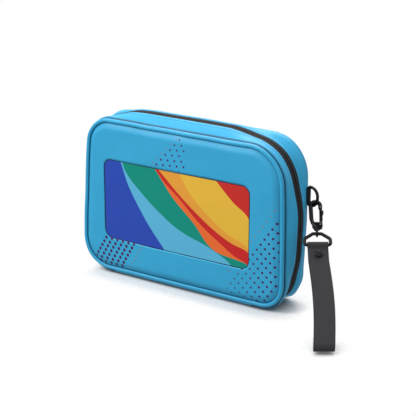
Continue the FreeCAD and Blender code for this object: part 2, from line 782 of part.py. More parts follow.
def make_swivel():
    """The swivel: a headed stem through the hook's block, a collar and the eye that holds the strap ring."""
    body = new_body("swivel")
    stem = D["stem_radius"]
    high = D["yoke_top"] + D["gap"]
    low = D["yoke_low"] - D["gap"]
    half = new_sketch(body, "XZ_Plane")
    collar = low - 1.8
    corners = [(0, collar), (2 * stem, collar), (2 * stem, low), (stem, low), (stem, high), (1.4 * stem, high),
               (1.1 * stem, high + 1.6), (0, high + 1.6)]
    add_outline(half, corners)
    revolve(body, half, "Z_Axis")
    path = new_sketch(body, "YZ_Plane")
    add_circle(path, 0, D["eye_z"], D["eye_radius"])
    profile = new_sketch(body, "XZ_Plane")
    add_circle(profile, 0, D["eye_z"] + D["eye_radius"], D["eye_wire"])
    pipe(body, profile, path)
    place_on_chain(body)
    return body


def make_strap_ring():
    """The wide ring: a straight bar for the strap, round ends, and a top that slopes up to the swivel's eye."""
    body = new_body("strap_ring")
    half = D["strap_ring_half"]
    bar = D["strap_bar"]
    top = D["strap_ring_top"]
    round_end = D["strap_ring_corner"]
    path = new_sketch(body, "XZ_Plane")
    end = bar + D["strap_ring_end"]
    peak = D["strap_ring_peak"]
    corners = [(-half, bar), (half, bar), (half, end), (peak, top), (-peak, top), (-half, end)]
    add_outline(path, corners, [round_end] * 2 + [D["strap_ring_bend"]] * 4)
    profile = new_sketch(body, "YZ_Plane")
    add_circle(profile, 0, bar, D["strap_ring_wire"])
    pipe(body, profile, path)
    place_on_chain(body)
    return body


def make_strap_upper():
    """The strap's upper end: webbing folded round the ring's bar, its two layers sewn and riveted together."""
    body = new_body("strap_upper")
    inner = D["strap_ring_wire"] + D["play"]
    outer = inner + D["webbing"]
    fold = new_sketch(body, "YZ_Plane")
    add_circle(fold, 0, D["strap_bar"], outer)
    pad(body, fold, 2 * D["webbing_half"], both_ways=True)
    layers = new_sketch(body, "YZ_Plane")
    low = D["bend_z"] + D["webbing"] + 3 * D["gap"]
    add_rectangle(layers, -D["webbing"], D["webbing"], low, D["strap_bar"] - inner)
    pad(body, layers, 2 * D["webbing_half"], both_ways=True)
    bore = new_sketch(body, "YZ_Plane")
    add_circle(bore, 0, D["strap_bar"], inner)
    pocket(body, bore, 6 * D["webbing_half"])
    hole = new_sketch(body, "XZ_Plane")
    add_circle(hole, 0, D["rivet_z"], D["rivet_post"] + D["play"])
    pocket(body, hole, 20)
    place_on_chain(body)
    return body


def make_strap_lower():
    """The strap's loop: a long drop of two layers that part towards a round end."""
    body = new_body("strap_lower")
    thick = D["webbing"]
    top = D["bend_z"] + thick
    wide = D["loop_half"]
    end = D["strap_end"]
    loop = new_sketch(body, "YZ_Plane")
    outside = [(-thick, top), (-wide, end), (wide, end), (thick, top)]
    add_outline(loop, outside, [thick * 0.95, wide * 0.95, wide * 0.95, thick * 0.95])
    low = end + thick
    narrow = wide - thick
    add_outline(loop, [(-0.4, top - 16), (-narrow, low), (narrow, low), (0.4, top - 16)],
                [0.3, narrow * 0.9, narrow * 0.9, 0.3])
    pad(body, loop, 2 * D["webbing_half"], both_ways=True)
    place_on_chain(body)
    return body


def make_rivet_cap():
    """The rivet's domed cap and its post, on the strap's face."""
    body = new_body("rivet_cap")
    face = D["webbing"] + D["gap"]
    height = D["rivet_radius"] / 2
    cap = new_sketch(body, "XZ_Plane", face)
    add_circle(cap, 0, D["rivet_z"], D["rivet_radius"])
    disc = pad(body, cap, height)
    doc.recompute()
    front = -face.number - height.number
    rim = next(f"Edge{i + 1}" for i, edge in enumerate(disc.Shape.Edges) if edge.BoundBox.YMax < front + 0.01)
    dome = feature(body, "Fillet")
    dome.Base = (disc, [rim])
    bind(dome, "Radius", height * 0.85)
    post = new_sketch(body, "XZ_Plane")
    add_circle(post, 0, D["rivet_z"], D["rivet_post"])
    pad(body, post, 2 * face + D["gap"], both_ways=True)
    place_on_chain(body)
    return body


def make_rivet_base():
    """The rivet's flat base behind the strap, in which the post ends."""
    body = new_body("rivet_base")
    near = D["webbing"] + 1.5 * D["gap"]
    sketch = new_sketch(body, "XZ_Plane", -near)
    add_circle(sketch, 0, D["rivet_z"], D["rivet_radius"])
    pad(body, sketch, 1, reverse=True)
    place_on_chain(body)
    return body


# ------------------------------------------------------------------------------------------- whole assembly


def make_parts():
    parts = [make_front_panel(), make_window_print(), make_back_panel()]
    for name, side in (("front", FRONT), ("back", BACK)):
        parts.append(make_piping(f"{name}_piping", side))
        parts.append(make_gusset(f"{name}_gusset", side))
        parts.append(make_board(f"{name}_board", side))
        parts.append(make_lining(f"{name}_lining", side))
        parts.append(make_zip_tape(f"{name}_zip_tape", side))
        parts.append(make_zip_coil(f"{name}_zip_coil", side))
        parts.append(make_bottom_strip(f"bottom_strip_{name}", side))
    parts += [make_mesh_pocket(), make_pocket_binding()]
    parts += [make_elastic_band("blade_band", -55, 34), make_elastic_band("handle_band", 84, 22)]
    parts += [make_end_stops(), make_zip_slider(), make_zip_pull()]
    parts += [make_ring_tab(), make_side_ring()]
    parts += [make_hook_body(), make_hook_gate(), make_gate_pin(), make_gate_spring(), make_swivel()]
    parts += [make_strap_ring(), make_strap_upper(), make_strap_lower(), make_rivet_cap(), make_rivet_base()]
    return parts


def check(parts):
    """Stops before anything is written if a feature failed or a part has no valid shape."""
    for item in doc.Objects:
        if "Invalid" in item.State or "Error" in item.State:
            raise RuntimeError(f"{item.Label} failed: {item.State}")
    for part in parts:
        if part.Shape.isNull() or not part.Shape.isValid():
            raise RuntimeError(f"{part.Label} has no valid shape")


def export(parts):
    os.makedirs("parts", exist_ok=True)
    for part in parts:
        part.Shape.exportStep(f"parts/{part.Label}.step")


parts = make_parts()
doc.recompute()
check(parts)
export(parts)
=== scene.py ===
import json
import math

import bmesh
import bpy
import numpy as np
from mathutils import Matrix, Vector


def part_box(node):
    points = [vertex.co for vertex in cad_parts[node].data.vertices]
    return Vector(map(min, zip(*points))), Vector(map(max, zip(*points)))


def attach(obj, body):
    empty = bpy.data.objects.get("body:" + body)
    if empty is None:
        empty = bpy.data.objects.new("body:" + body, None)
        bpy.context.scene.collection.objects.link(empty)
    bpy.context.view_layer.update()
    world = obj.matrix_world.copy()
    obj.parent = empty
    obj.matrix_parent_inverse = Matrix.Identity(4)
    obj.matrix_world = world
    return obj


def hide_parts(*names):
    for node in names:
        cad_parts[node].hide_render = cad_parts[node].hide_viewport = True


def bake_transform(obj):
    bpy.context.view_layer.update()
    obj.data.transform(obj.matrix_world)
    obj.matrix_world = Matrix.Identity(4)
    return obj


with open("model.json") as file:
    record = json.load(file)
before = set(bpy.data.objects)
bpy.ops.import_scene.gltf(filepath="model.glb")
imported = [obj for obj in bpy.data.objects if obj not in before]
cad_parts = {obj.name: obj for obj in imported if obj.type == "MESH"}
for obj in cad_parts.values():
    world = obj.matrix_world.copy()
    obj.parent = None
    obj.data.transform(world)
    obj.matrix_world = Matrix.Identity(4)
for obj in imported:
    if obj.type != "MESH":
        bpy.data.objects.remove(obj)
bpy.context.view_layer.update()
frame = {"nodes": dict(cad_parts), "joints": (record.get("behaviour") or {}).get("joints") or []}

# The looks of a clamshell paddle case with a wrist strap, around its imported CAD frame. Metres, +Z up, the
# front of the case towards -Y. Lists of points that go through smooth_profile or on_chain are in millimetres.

MM = 0.001

# ---------------------------------------- driving dimensions

PIPING_LOW, PIPING_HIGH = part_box("front_piping")
CASE_HALF = PIPING_HIGH.x
CASE_LOW = PIPING_LOW.z
CASE_TOP = PIPING_HIGH.z
CASE_MIDDLE = (CASE_LOW + CASE_TOP) / 2
CASE_RISE = (CASE_TOP - CASE_LOW) / 2
PIPING_RADIUS = (PIPING_HIGH.y - PIPING_LOW.y) / 2
EDGE_DEPTH = -(PIPING_LOW.y + PIPING_HIGH.y) / 2
LEFT_TOP_RADIUS = 33 * MM
RIGHT_TOP_RADIUS = 46 * MM
RIGHT_BOTTOM_RADIUS = 31 * MM
LEFT_BOTTOM_RADIUS = 40 * MM
STRIP_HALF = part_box("bottom_strip_back")[1].x

# The soft shell's front edge, within a band round the panel: how far its sides bow, lean out at the foot and
# stand in, and how far its top and foot sag.
SIDE_BOW = 1.6 * MM
LEFT_TILT = 6.2 * MM
LEFT_SHIFT = 2.6 * MM
RIGHT_TILT = 2.2 * MM
RIGHT_SHIFT = 0.5 * MM
EDGE_BAND = 28 * MM
FRONT_SAG = 1.6 * MM
FOOT_SAG = 2.0 * MM

# The shell behind the zip: how far its top and right side stand out, its left end drops, its lower right
# draws in over the heel's height, and the corner there fills out.
TOP_SWELL = 2.2 * MM
SIDE_SWELL = 1.9 * MM
CORNER_DROP = 2.4 * MM
HEEL = 8 * MM
HEEL_RISE = 75 * MM
CORNER_FILL = 3.6 * MM
FILL_REACH = 45 * MM

# The waviness of the cloth, and the window in the front panel.
WANDER = 0.28 * MM
WANDER_LENGTH = 70 * MM
WINDOW_LOW, WINDOW_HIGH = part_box("window_print")
WINDOW_MIDDLE = (WINDOW_LOW.x + WINDOW_HIGH.x) / 2
WINDOW_HALF = (WINDOW_HIGH.x - WINDOW_LOW.x) / 2
WINDOW_CENTRE = (WINDOW_LOW.z + WINDOW_HIGH.z) / 2
WINDOW_RISE = (WINDOW_HIGH.z - WINDOW_LOW.z) / 2
WINDOW_RADIUS = 11 * MM
FRONT = 1
BACK = -1

# ---------------------------------------- mesh helpers


def mesh_object(name, points, faces, material, smooth=True):
    """A mesh object from points and faces, with one material."""
    mesh = bpy.data.meshes.new(name)
    mesh.from_pydata([tuple(p) for p in np.asarray(points, float).reshape(-1, 3)], [], faces)
    mesh.validate()
    mesh.materials.append(material)
    mesh.polygons.foreach_set("use_smooth", [smooth] * len(mesh.polygons))
    made = bpy.data.objects.new(name, mesh)
    bpy.context.scene.collection.objects.link(made)
    return made


def grid_faces(rows, columns, wrap_rows=False, wrap_columns=False, start=0):
    """Quads over a grid of points numbered row by row."""
    faces = []
    for i in range(rows if wrap_rows else rows - 1):
        for j in range(columns if wrap_columns else columns - 1):
            k = (i + 1) % rows
            l = (j + 1) % columns
            faces.append((start + i * columns + j, start + k * columns + j,
                          start + k * columns + l, start + i * columns + l))
    return faces


def face_outwards(made):
    """Turns every face to point out of its solid."""
    bpy.context.view_layer.objects.active = made
    made.select_set(True)
    bpy.ops.object.mode_set(mode="EDIT")
    bpy.ops.mesh.select_all(action="SELECT")
    bpy.ops.mesh.normals_make_consistent(inside=False)
    bpy.ops.object.mode_set(mode="OBJECT")
    made.select_set(False)
    return made


def tube_grid(name, grid, material, wrap_rows=False):
    """A closed solid from a grid (sections, points of a closed section, 3). Open ends are capped."""
    grid = np.asarray(grid, float)
    rows, columns = grid.shape[:2]
    faces = grid_faces(rows, columns, wrap_rows, True)
    if not wrap_rows:
        faces.append(tuple(range(columns)))
        faces.append(tuple(range((rows - 1) * columns, rows * columns))[::-1])
    return face_outwards(mesh_object(name, grid, faces, material))


def circle_points(radius, count):
    angles = np.arange(count) * 2 * math.pi / count
    return np.stack([np.cos(angles), np.sin(angles)], 1) * radius


def points_at(x, y, z):
    """Points from their three parts, which may be numbers or arrays."""
    return np.stack(np.broadcast_arrays(x, y, z), -1)


def unit(vectors):
    """The vectors at length 1."""
    return vectors / np.linalg.norm(vectors, axis=-1, keepdims=True)


def headings(path, closed=False):
    """The direction of a path at each of its points."""
    return unit(np.roll(path, -1, 0) - np.roll(path, 1, 0) if closed else np.gradient(path, axis=0))


def round_sections(path, side, other, ring, radius):
    """Circles about the points of a path, each in the plane of its side and other vectors."""
    radius = np.broadcast_to(radius, len(path))[:, None, None]
    return path[:, None] + (side[:, None] * ring[None, :, :1] + other[:, None] * ring[None, :, 1:]) * radius


def wire_along(path, radius, count):
    """Sections of a round wire along a path of points, without twist."""
    ahead = headings(path)
    side = [unit(np.cross(ahead[0], (0.3, 0.5, 0.81)))]
    for direction in ahead[1:]:
        side.append(unit(side[-1] - direction * (side[-1] @ direction)))
    side = np.array(side)
    return round_sections(path, side, np.cross(ahead, side), circle_points(1.0, count), radius)


def ease(value, low, high):
    """0 to 1 as the value goes from low to high, starting and ending gently."""
    t = np.clip((np.asarray(value, float) - low) / (high - low), 0, 1)
    return t * t * (3 - 2 * t)


def ripple(points, scale, seed):
    """A smooth pseudo-random value between about -1 and 1 at each point, from a few fixed waves."""
    waves = np.random.default_rng(seed)
    total = np.zeros(len(points))
    for _ in range(6):
        direction = unit(waves.normal(size=3))
        pace = 2 * math.pi / scale * waves.uniform(0.6, 1.6)
        total += np.sin(points @ direction * pace + waves.uniform(0, 7))
    return total / 3.5


# ---------------------------------------- the case's outline

CASE_STEPS = {"low": 220, "side": 124, "high": 208, "corner": 60}
CASE_RADII = (RIGHT_BOTTOM_RADIUS, RIGHT_TOP_RADIUS, LEFT_TOP_RADIUS, LEFT_BOTTOM_RADIUS)


def rounded_outline(left, right, low, high, radii):
    """Points (x, z) and outward normals round a rectangle with rounded corners, anticlockwise from the middle
    of its lower edge. The radii run from the lower right corner round to the lower left. All such outlines
    match point for point."""
    points, normals = [], []
    middle = (left + right) / 2
    steps = CASE_STEPS
    low_right, high_right, high_left, low_left = radii
    side, corner, half_low = steps["side"], steps["corner"], steps["low"] // 2
    corners = [(right - low_right, low + low_right, low_right, -90, half_low, corner),
               (right - high_right, high - high_right, high_right, 0, side, corner),
               (left + high_left, high - high_left, high_left, 90, steps["high"], corner),
               (left + low_left, low + low_left, low_left, 180, side, corner),
               (middle, low, 0.0, -90, half_low, 0)]
    previous = np.array([middle, low])
    for x, z, radius, start, straight, bend in corners:
        turns = np.radians(start + 90 * np.arange(bend + 1) / max(bend, 1))
        out = np.stack([np.cos(turns), np.sin(turns)], 1)
        arc = np.array([x, z]) + radius * out
        shares = np.arange(straight)[:, None] / straight
        points += [*(previous + (arc[0] - previous) * shares), *arc[:bend]]
        normals += [out[0]] * straight + [*out[:bend]]
        previous = arc[-1]
    return np.array(points), np.array(normals)


def case_outline(inset=0.0):
    """The outline of the case, or one a distance inside it."""
    return rounded_outline(-CASE_HALF + inset, CASE_HALF - inset, CASE_LOW + inset, CASE_TOP - inset,
                           [radius - inset for radius in CASE_RADII])


# For each corner (across, up): how far the wall dips along the zip, and over what distance from the corner.
CORNER_DIPS = [(1, -1, 2 * MM, 60 * MM), (1, 1, 11 * MM, 92 * MM), (-1, 1, 8 * MM, 66 * MM),
               (-1, -1, 8 * MM, 58 * MM)]


def corner_dip(places):
    """How far the wall dips along the zip: most in the middle of each corner, nothing along the edges."""
    dip = np.zeros(len(places))
    for across, up, depth, reach in CORNER_DIPS:
        near = np.hypot(places[:, 0] - across * CASE_HALF, places[:, 1] - (CASE_MIDDLE + up * CASE_RISE))
        dip = np.maximum(dip, depth * ease(near, reach, 0.2 * reach))
    return dip


def zip_run():
    """The outline from the strip's right end, over the top, to its left end."""
    places, normals = case_outline()
    keep = ~((np.abs(places[:, 0]) < STRIP_HALF) & (places[:, 1] < CASE_LOW + MM))
    places = places[keep]
    places[0, 0] = STRIP_HALF
    places[-1, 0] = -STRIP_HALF
    return places, normals[keep]


def front_shift(x, y, z, rear):
    """How far the front's edge moves, across and up: it sags a little and widens towards its foot."""
    rise = (z - CASE_MIDDLE) / CASE_RISE
    aside = np.clip(x / CASE_HALF, -1.1, 1.1)
    edge = ease(case_inset(x, z), EDGE_BAND, 0.2 * EDGE_BAND) * (1 - rear)
    tilt = np.where(x < 0, LEFT_TILT * rise - LEFT_SHIFT, -RIGHT_TILT * rise - RIGHT_SHIFT)
    across = SIDE_BOW * (0.6 - rise**2) * aside**3 + edge * tilt * ease(np.abs(aside), 0.35, 0.95)
    foot = ease(rise, -0.6, -0.95) * ease(-y, 3 * MM, 14 * MM)
    return across, -FRONT_SAG * edge * ease(rise, 0.3, 0.9) - FOOT_SAG * foot


def rear_shift(x, y, z, rear):
    """How far the shell behind the zip moves, across and up: its top and right side stand out, and its lower
    right draws in, most along the zip, round a full corner."""
    rise = (z - CASE_MIDDLE) / CASE_RISE
    aside = np.clip(x / CASE_HALF, -1.1, 1.1)
    across = SIDE_SWELL * ease(aside, 0.3, 1.0) * ease(rise, -0.9, 0.1)
    heel = HEEL * (1 - 0.85 * ease(y, 3 * MM, 20 * MM))
    across = across - heel * ease(x, STRIP_HALF, CASE_HALF) * ease(z, HEEL_RISE, 0.0)
    fill = CORNER_FILL * ease(x, CASE_HALF - FILL_REACH, CASE_HALF)
    fill = fill * ease(z, FILL_REACH, 0.0) * ease(z, 0.0, 6 * MM)
    swell = (TOP_SWELL + CORNER_DROP) * ease(aside, -0.95, -0.35) - CORNER_DROP
    return (across + 0.75 * fill) * rear, (swell * ease(rise, 0.3, 1.0) - 0.6 * fill) * rear


def relax(points):
    """The soft shape of the shell: both halves shifted out of their plain outline, and all of it wandering a
    little."""
    points = np.array(points, float)
    moved = points.copy()
    x, y, z = (points[..., axis] for axis in range(3))
    rear = ease(y, 3 * MM - EDGE_DEPTH, -6 * MM)
    for across, up in (front_shift(x, y, z, rear), rear_shift(x, y, z, rear)):
        moved[..., 0] += across
        moved[..., 2] += up
    lift = ease(z, 0.0, 20 * MM)
    for axis in range(3):
        sway = ripple(points.reshape(-1, 3), WANDER_LENGTH, axis).reshape(x.shape)
        moved[..., axis] += WANDER * sway * lift
    return moved


def case_inset(x, z):
    """How far inside the case's outline a point (x, z) lies."""
    rise = z - CASE_MIDDLE
    right = np.where(rise > 0, RIGHT_TOP_RADIUS, RIGHT_BOTTOM_RADIUS)
    left = np.where(rise > 0, LEFT_TOP_RADIUS, LEFT_BOTTOM_RADIUS)
    radius = np.where(x > 0, right, left)
    across = np.abs(x) - (CASE_HALF - radius)
    up = np.abs(rise) - (CASE_RISE - radius)
    return radius - np.hypot(np.maximum(across, 0), np.maximum(up, 0)) - np.minimum(np.maximum(across, up), 0)


def shell_points(outline, profile, bottom_profile, side):
    """Points of a layer of the shell at each outline point. A profile is a list of (offset, depth): outwards
    from the case's outline and away from the parting plane. The bottom profile takes over under the case."""
    places, normals = outline
    below = ease(-normals[:, 1], 0.5, 1.0)[:, None]
    profile, bottom_profile = np.array(profile).T, np.array(bottom_profile).T
    offset, depth = (high * (1 - below) + low * below for high, low in zip(profile, bottom_profile))
    offset = offset - corner_dip(places)[:, None] * ease(depth, 22 * MM, 8 * MM)
    x, z = (places[:, axis, None] + normals[:, axis, None] * offset for axis in range(2))
    return relax(points_at(x, -side * depth, z))


def smooth_profile(control, count):
    """A smooth open curve through control points in millimetres, as points in metres."""
    control = np.asarray(control, float) * MM
    knots = np.concatenate([[0], np.cumsum(np.linalg.norm(np.diff(control, axis=0), axis=1))])
    padded = np.vstack([2 * control[0] - control[1], control, 2 * control[-1] - control[-2]])
    result = []
    for t in np.linspace(0, knots[-1], count):
        i = min(int(np.searchsorted(knots, t, side="right")) - 1, len(control) - 2)
        u = (t - knots[i]) / (knots[i + 1] - knots[i])
        before, here, there, after = padded[i:i + 4]
        bend = (2 * before - 5 * here + 4 * there - after) * u**2
        twist = (3 * here - before - 3 * there + after) * u**3
        result.append((2 * here + (there - before) * u + bend + twist) / 2)
    return np.array(result)


def thick_section(profile, thickness):
    """A closed section: the profile and a copy moved to its left by the thickness."""
    ahead = headings(profile)
    left = np.stack([-ahead[:, 1], ahead[:, 0]], 1)
    return np.vstack([profile, (profile + left * thickness)[::-1]])


# ---------------------------------------- materials


class Wire:
    """A value carried by a node's output. Arithmetic on it adds math nodes."""

    def __init__(self, nodes, socket):
        self.nodes = nodes
        self.socket = socket

    def __add__(self, other):
        return self.nodes.math("ADD", self, other)

    def __sub__(self, other):
        return self.nodes.math("SUBTRACT", self, other)

    def __rsub__(self, other):
        return self.nodes.math("SUBTRACT", other, self)

    def __mul__(self, other):
        return self.nodes.math("MULTIPLY", self, other)

    def __truediv__(self, other):
        return self.nodes.math("DIVIDE", self, other)

    def larger(self, other):
        return self.nodes.math("MAXIMUM", self, other)

    def size(self):
        return self.nodes.math("ABSOLUTE", self)

    def sine(self):
        return self.nodes.math("SINE", self)

    def step(self, low, high, to_low=0.0, to_high=1.0):
        """A smooth step from one value to another, as this one goes from low to high."""
        return self.nodes.out("MapRange", 0, {"interpolation_type": "SMOOTHSTEP"}, Value=self, From_Min=low,
                              From_Max=high, To_Min=to_low, To_Max=to_high)

    def inside(self, low, high, soft=0.5):
        """1 where the value lies between low and high."""
        return self.step(low - soft, low + soft) * self.step(high + soft, high - soft)


def distance(across, up):
    """The length of the vector with these two parts."""
    return across.nodes.math("SQRT", across * across + up * up)


class Nodes:
    """A node tree under construction. Inputs take numbers, colours or wires."""

    def __init__(self, tree):
        self.tree = tree

    def put(self, socket, value):
        if isinstance(value, Wire):
            self.tree.links.new(value.socket, socket)
        elif value is not None:
            socket.default_value = value

    def add(self, kind, settings=None, **inputs):
        made = self.tree.nodes.new("ShaderNode" + kind)
        for key, value in (settings or {}).items():
            setattr(made, key, value)
        for key, value in inputs.items():
            self.put(made.inputs[key.replace("_", " ")], value)
        return made

    def out(self, kind, output=0, settings=None, **inputs):
        """One output of a new node."""
        return Wire(self, self.add(kind, settings, **inputs).outputs[output])

    def math(self, operation, *values):
        made = self.add("Math", {"operation": operation})
        for socket, value in zip(made.inputs, values):
            self.put(socket, value)
        return Wire(self, made.outputs[0])

    def mix(self, factor, first, second):
        """A mix of two colours."""
        made = self.add("Mix", {"data_type": "RGBA"})
        for index, value in ((0, factor), (6, first), (7, second)):
            self.put(made.inputs[index], value)
        return Wire(self, made.outputs[2])

    def attribute(self, name, output="Vector"):
        return self.out("Attribute", output, {"attribute_name": name})

    def split(self, vector):
        """The three parts of a vector."""
        made = self.add("SeparateXYZ", Vector=vector)
        return [Wire(self, part) for part in made.outputs]


class Look(Nodes):
    """A material under construction. A piece that bends keeps its place at rest in an attribute."""

    def __init__(self, name, bends=False):
        self.material = bpy.data.materials.new(name)
        self.material.use_nodes = True
        super().__init__(self.material.node_tree)
        self.tree.nodes.clear()
        self.output = self.add("OutputMaterial")
        self.surface = self.add("BsdfPrincipled")
        self.tree.links.new(self.surface.outputs[0], self.output.inputs[0])
        self.place = self.attribute("rest") if bends else self.out("TexCoord", "Object")

    def noise(self, scale, detail=3.0, roughness=0.55, place=None):
        place = place or self.place
        return self.out("TexNoise", "Fac", Vector=place, Scale=scale, Detail=detail, Roughness=roughness)

    def bump(self, height, depth, normal=None):
        """A bump: height runs from 0 to 1 over the given depth."""
        return self.out("Bump", "Normal", Height=height, Distance=depth, Normal=normal)

    def finish(self, **inputs):
        for key, value in inputs.items():
            self.put(self.surface.inputs[key.replace("_", " ")], value)
        return self.material


def srgb(red, green, blue):
    """A linear colour from the 0..255 values seen on a screen."""
    parts = [value / 255 for value in (red, green, blue)]
    return tuple(p / 12.92 if p <= 0.04045 else ((p + 0.055) / 1.055) ** 2.4 for p in parts) + (1.0,)


def scaled(colour, share, added=0.0):
    """A darker or paler tone of a colour."""
    return tuple(min(1.0, part * share + added) for part in colour[:3]) + (1.0,)


PANEL_BLUE = srgb(48, 164, 209)
SHADE_BLUE = srgb(16, 134, 184)
# Painted shade: the deep blue that the grooves beside the piping are darkened to.
SEAM_SHADE_BLUE = srgb(4, 60, 92)


def leather_colour(look, colour, shade):
    """Small shifts of colour over the cloth, a fine darker mottle, and painted shade in the grooves along the
    seams.
    """
    drift = look.mix(look.noise(14.0, 4.0).step(0.35, 0.7, 0.0, 0.16), colour, shade)
    drift = look.mix(look.noise(900.0, 2.0).step(0.5, 0.8, 0.0, 0.12), drift, shade)
    # Painted shade: the colour darkens towards a deep blue where the seam attribute marks a groove.
    return look.mix(look.attribute("seam", "Fac") * 0.9, drift, SEAM_SHADE_BLUE)


def finish_leather(look, colour, rough, spread):
    """The surface of coated cloth: a pebbled grain with faint creases under a thin gloss."""
    pebbles = look.out("TexVoronoi", "Distance", {"feature": "SMOOTH_F1"}, Vector=look.place, Scale=1100.0,
                       Smoothness=0.6)
    grain = look.bump(pebbles, 0.00009)
    fine = look.bump(look.noise(2600.0, 2.0), 0.00005, grain)
    creased = look.bump(look.noise(26.0, 4.0), 0.0009, fine)
    worn = look.noise(60.0, 5.0).step(0.3, 0.7, rough - spread, rough + spread)
    return look.finish(Base_Color=colour, Roughness=worn, Specular_IOR_Level=0.35, Normal=creased,
                       Coat_Weight=0.06, Coat_Roughness=0.35)


def leather(name, colour=PANEL_BLUE, shade=SHADE_BLUE, rough=0.5, bends=False):
    """Coated cloth in one colour."""
    look = Look(name, bends)
    return finish_leather(look, leather_colour(look, colour, shade), rough, 0.06)


# Fields of dots on the front panel, in millimetres from the middle of the case: the two steps of each field's
# lattice and one of its points.
TOP_DOTS = {"row": (6.6, 7.1), "column": (9.9, 0.8), "start": (-33.0, 52.6)}
TOP_PALE_DOTS = {"row": (6.7, 6.9), "column": (20.0, 0.0), "start": (-38.5, 54.0)}
SIDE_DOTS = {"row": (-5.1, -7.3), "column": (6.0, -4.5), "start": (135.5, 8.0)}
SIDE_PALE_DOTS = {"row": (-5.1, -7.3), "column": (20.0, -15.0), "start": (138.0, 31.0)}
LOW_DOTS = {"row": (-3.3, -5.6), "column": (8.7, -0.1), "start": (-112.3, -58.0)}
LOW_PALE_DOTS = {"row": (-3.3, -5.6), "column": (20.0, 0.0), "start": (-56.0, -57.5)}
LOW_DOT_SQUASH = 0.88
DOT_INK = srgb(62, 14, 84)
PALE_DOT_INK = srgb(128, 112, 128)


def dots(across, up, size, row, column, start, squash=1.0):
    """1 on the round dots of a lattice, whose radius is the size."""
    area = row[0] * column[1] - row[1] * column[0]
    x = across - start[0]
    z = up - start[1]
    along = (x * column[1] - z * column[0]) / area
    other = (z * row[0] - x * row[1]) / area
    along = along - along.nodes.math("ROUND", along)
    other = other - other.nodes.math("ROUND", other)
    off_x = along * row[0] + other * column[0]
    off_z = (along * row[1] + other * column[1]) * squash
    return (distance(off_x, off_z) - size).step(0.12, -0.12)


def panel_place(look):
    """How far a point of the front is from the middle of the case, across and up, in millimetres."""
    across, _, up = look.split(look.place)
    return across / MM, (up - CASE_MIDDLE) / MM


def top_dots(across, up):
    """Above the window: rows lean to the right as they rise, behind a paler row."""
    lean = across - up * 0.93
    dark = dots(across, up, up.step(50.0, 92.0, 1.4, 1.15), **TOP_DOTS)
    pale = dots(across, up, 1.1, **TOP_PALE_DOTS)
    dark = dark * up.inside(49.0, 93.0) * lean.step(-85.0, -84.0) * across.step(9.0, 8.0)
    return dark, pale * up.inside(50.0, 91.0) * lean.inside(-92.0, -86.0)


def side_dots(across, up):
    """Down the right side: seven rows fall to the left between two paler ones."""
    slant = across - up * 0.7
    reach = up.step(35.0, 34.0) * across.step(68.0, 70.0) * up.step(-97.0, -96.0)
    rows = dots(across, up, across.step(84.0, 122.0, 1.1, 1.6), **SIDE_DOTS)
    first = dots(across, up, 1.2, **SIDE_PALE_DOTS) * slant.inside(112.0, 121.0)
    last = rows * slant.inside(190.0, 198.0)
    return rows * slant.inside(125.5, 189.0) * reach, first.larger(last) * reach


def low_dots(across, up):
    """The lower left corner: the largest dots, then a paler column."""
    column = across - up * 0.589
    reach = up.step(-54.0, -55.0) * across.step(-40.0, -42.0)
    dark = dots(across, up, 1.95, squash=LOW_DOT_SQUASH, **LOW_DOTS)
    pale = dots(across, up, 1.2, **LOW_PALE_DOTS)
    return dark * column.inside(-82.8, -30.6) * reach, pale * column.inside(-26.0, -18.0) * reach


def panel_leather():
    """The front panel's coated cloth with three fields of punched dots."""
    look = Look("panel_leather")
    colour = leather_colour(look, PANEL_BLUE, SHADE_BLUE)
    place = panel_place(look)
    fields = [field(*place) for field in (top_dots, side_dots, low_dots)]
    dark, pale = (top.larger(side).larger(low) for top, side, low in zip(*fields))
    colour = look.mix(pale * 0.8, colour, PALE_DOT_INK)
    return finish_leather(look, look.mix(dark, colour, DOT_INK), 0.51, 0.05)


# Where one band of the print meets the next, left to right: (height, place across), in millimetres from the
# middle of the case.
PRINT_BANDS = [
    (srgb(38, 72, 176), None),
    (srgb(88, 178, 216), [(-57, -22), (-20, -52), (16, -75), (20, -77), (48, -88)]),
    (srgb(0, 140, 122), [(-57, 75), (-42, 48), (-26, 0), (-10, -28), (15, -60), (34, -79), (48, -86)]),
    (srgb(232, 106, 46), [(-51, 97), (-47, 75), (-42, 50), (-12, 20), (15, -10), (33, -25), (47, -36)]),
    (srgb(198, 36, 34), [(-53, 99), (-43, 78), (-32, 60), (-12, 30), (15, 0), (32, -22), (47, -36)]),
    (srgb(228, 156, 56), [(-36, 99), (-28, 75), (-16, 50), (-3, 30), (20, 0), (47, -31)]),
    (srgb(228, 182, 60), [(-31, 99), (-18, 70), (-2, 45), (25, 15), (47, 0)]),
    (srgb(198, 42, 36), [(6, 99), (25, 75), (46, 53)]),
]
PRINT_REACH = 120.0
PRINT_BORDER = 1.0
BORDER_INK = srgb(30, 34, 60)
GRAIN_INK = srgb(20, 20, 30)


def reach_share(place):
    """A place in millimetres from the middle of the case, as a share of the print's reach."""
    return (place + PRINT_REACH) / (2 * PRINT_REACH)


def band_edge(look, share, edge):
    """How far across a band's edge lies at each height. Beyond its ends it goes on straight."""
    curve = look.add("FloatCurve", Value=share)
    placed = [(reach_share(z), reach_share(x)) for z, x in edge]
    first, second = placed[:2]
    before, last = placed[-2:]
    lower = first[1] + (first[1] - second[1]) * first[0] / (second[0] - first[0])
    upper = last[1] - (before[1] - last[1]) * (1 - last[0]) / (last[0] - before[0])
    points = curve.mapping.curves[0].points
    points[0].location = (0.0, min(1.0, lower))
    points[1].location = (1.0, max(0.0, upper))
    for location in placed:
        points.new(*location)
    curve.mapping.update()
    return Wire(look, curve.outputs[0]) * (2 * PRINT_REACH) - PRINT_REACH


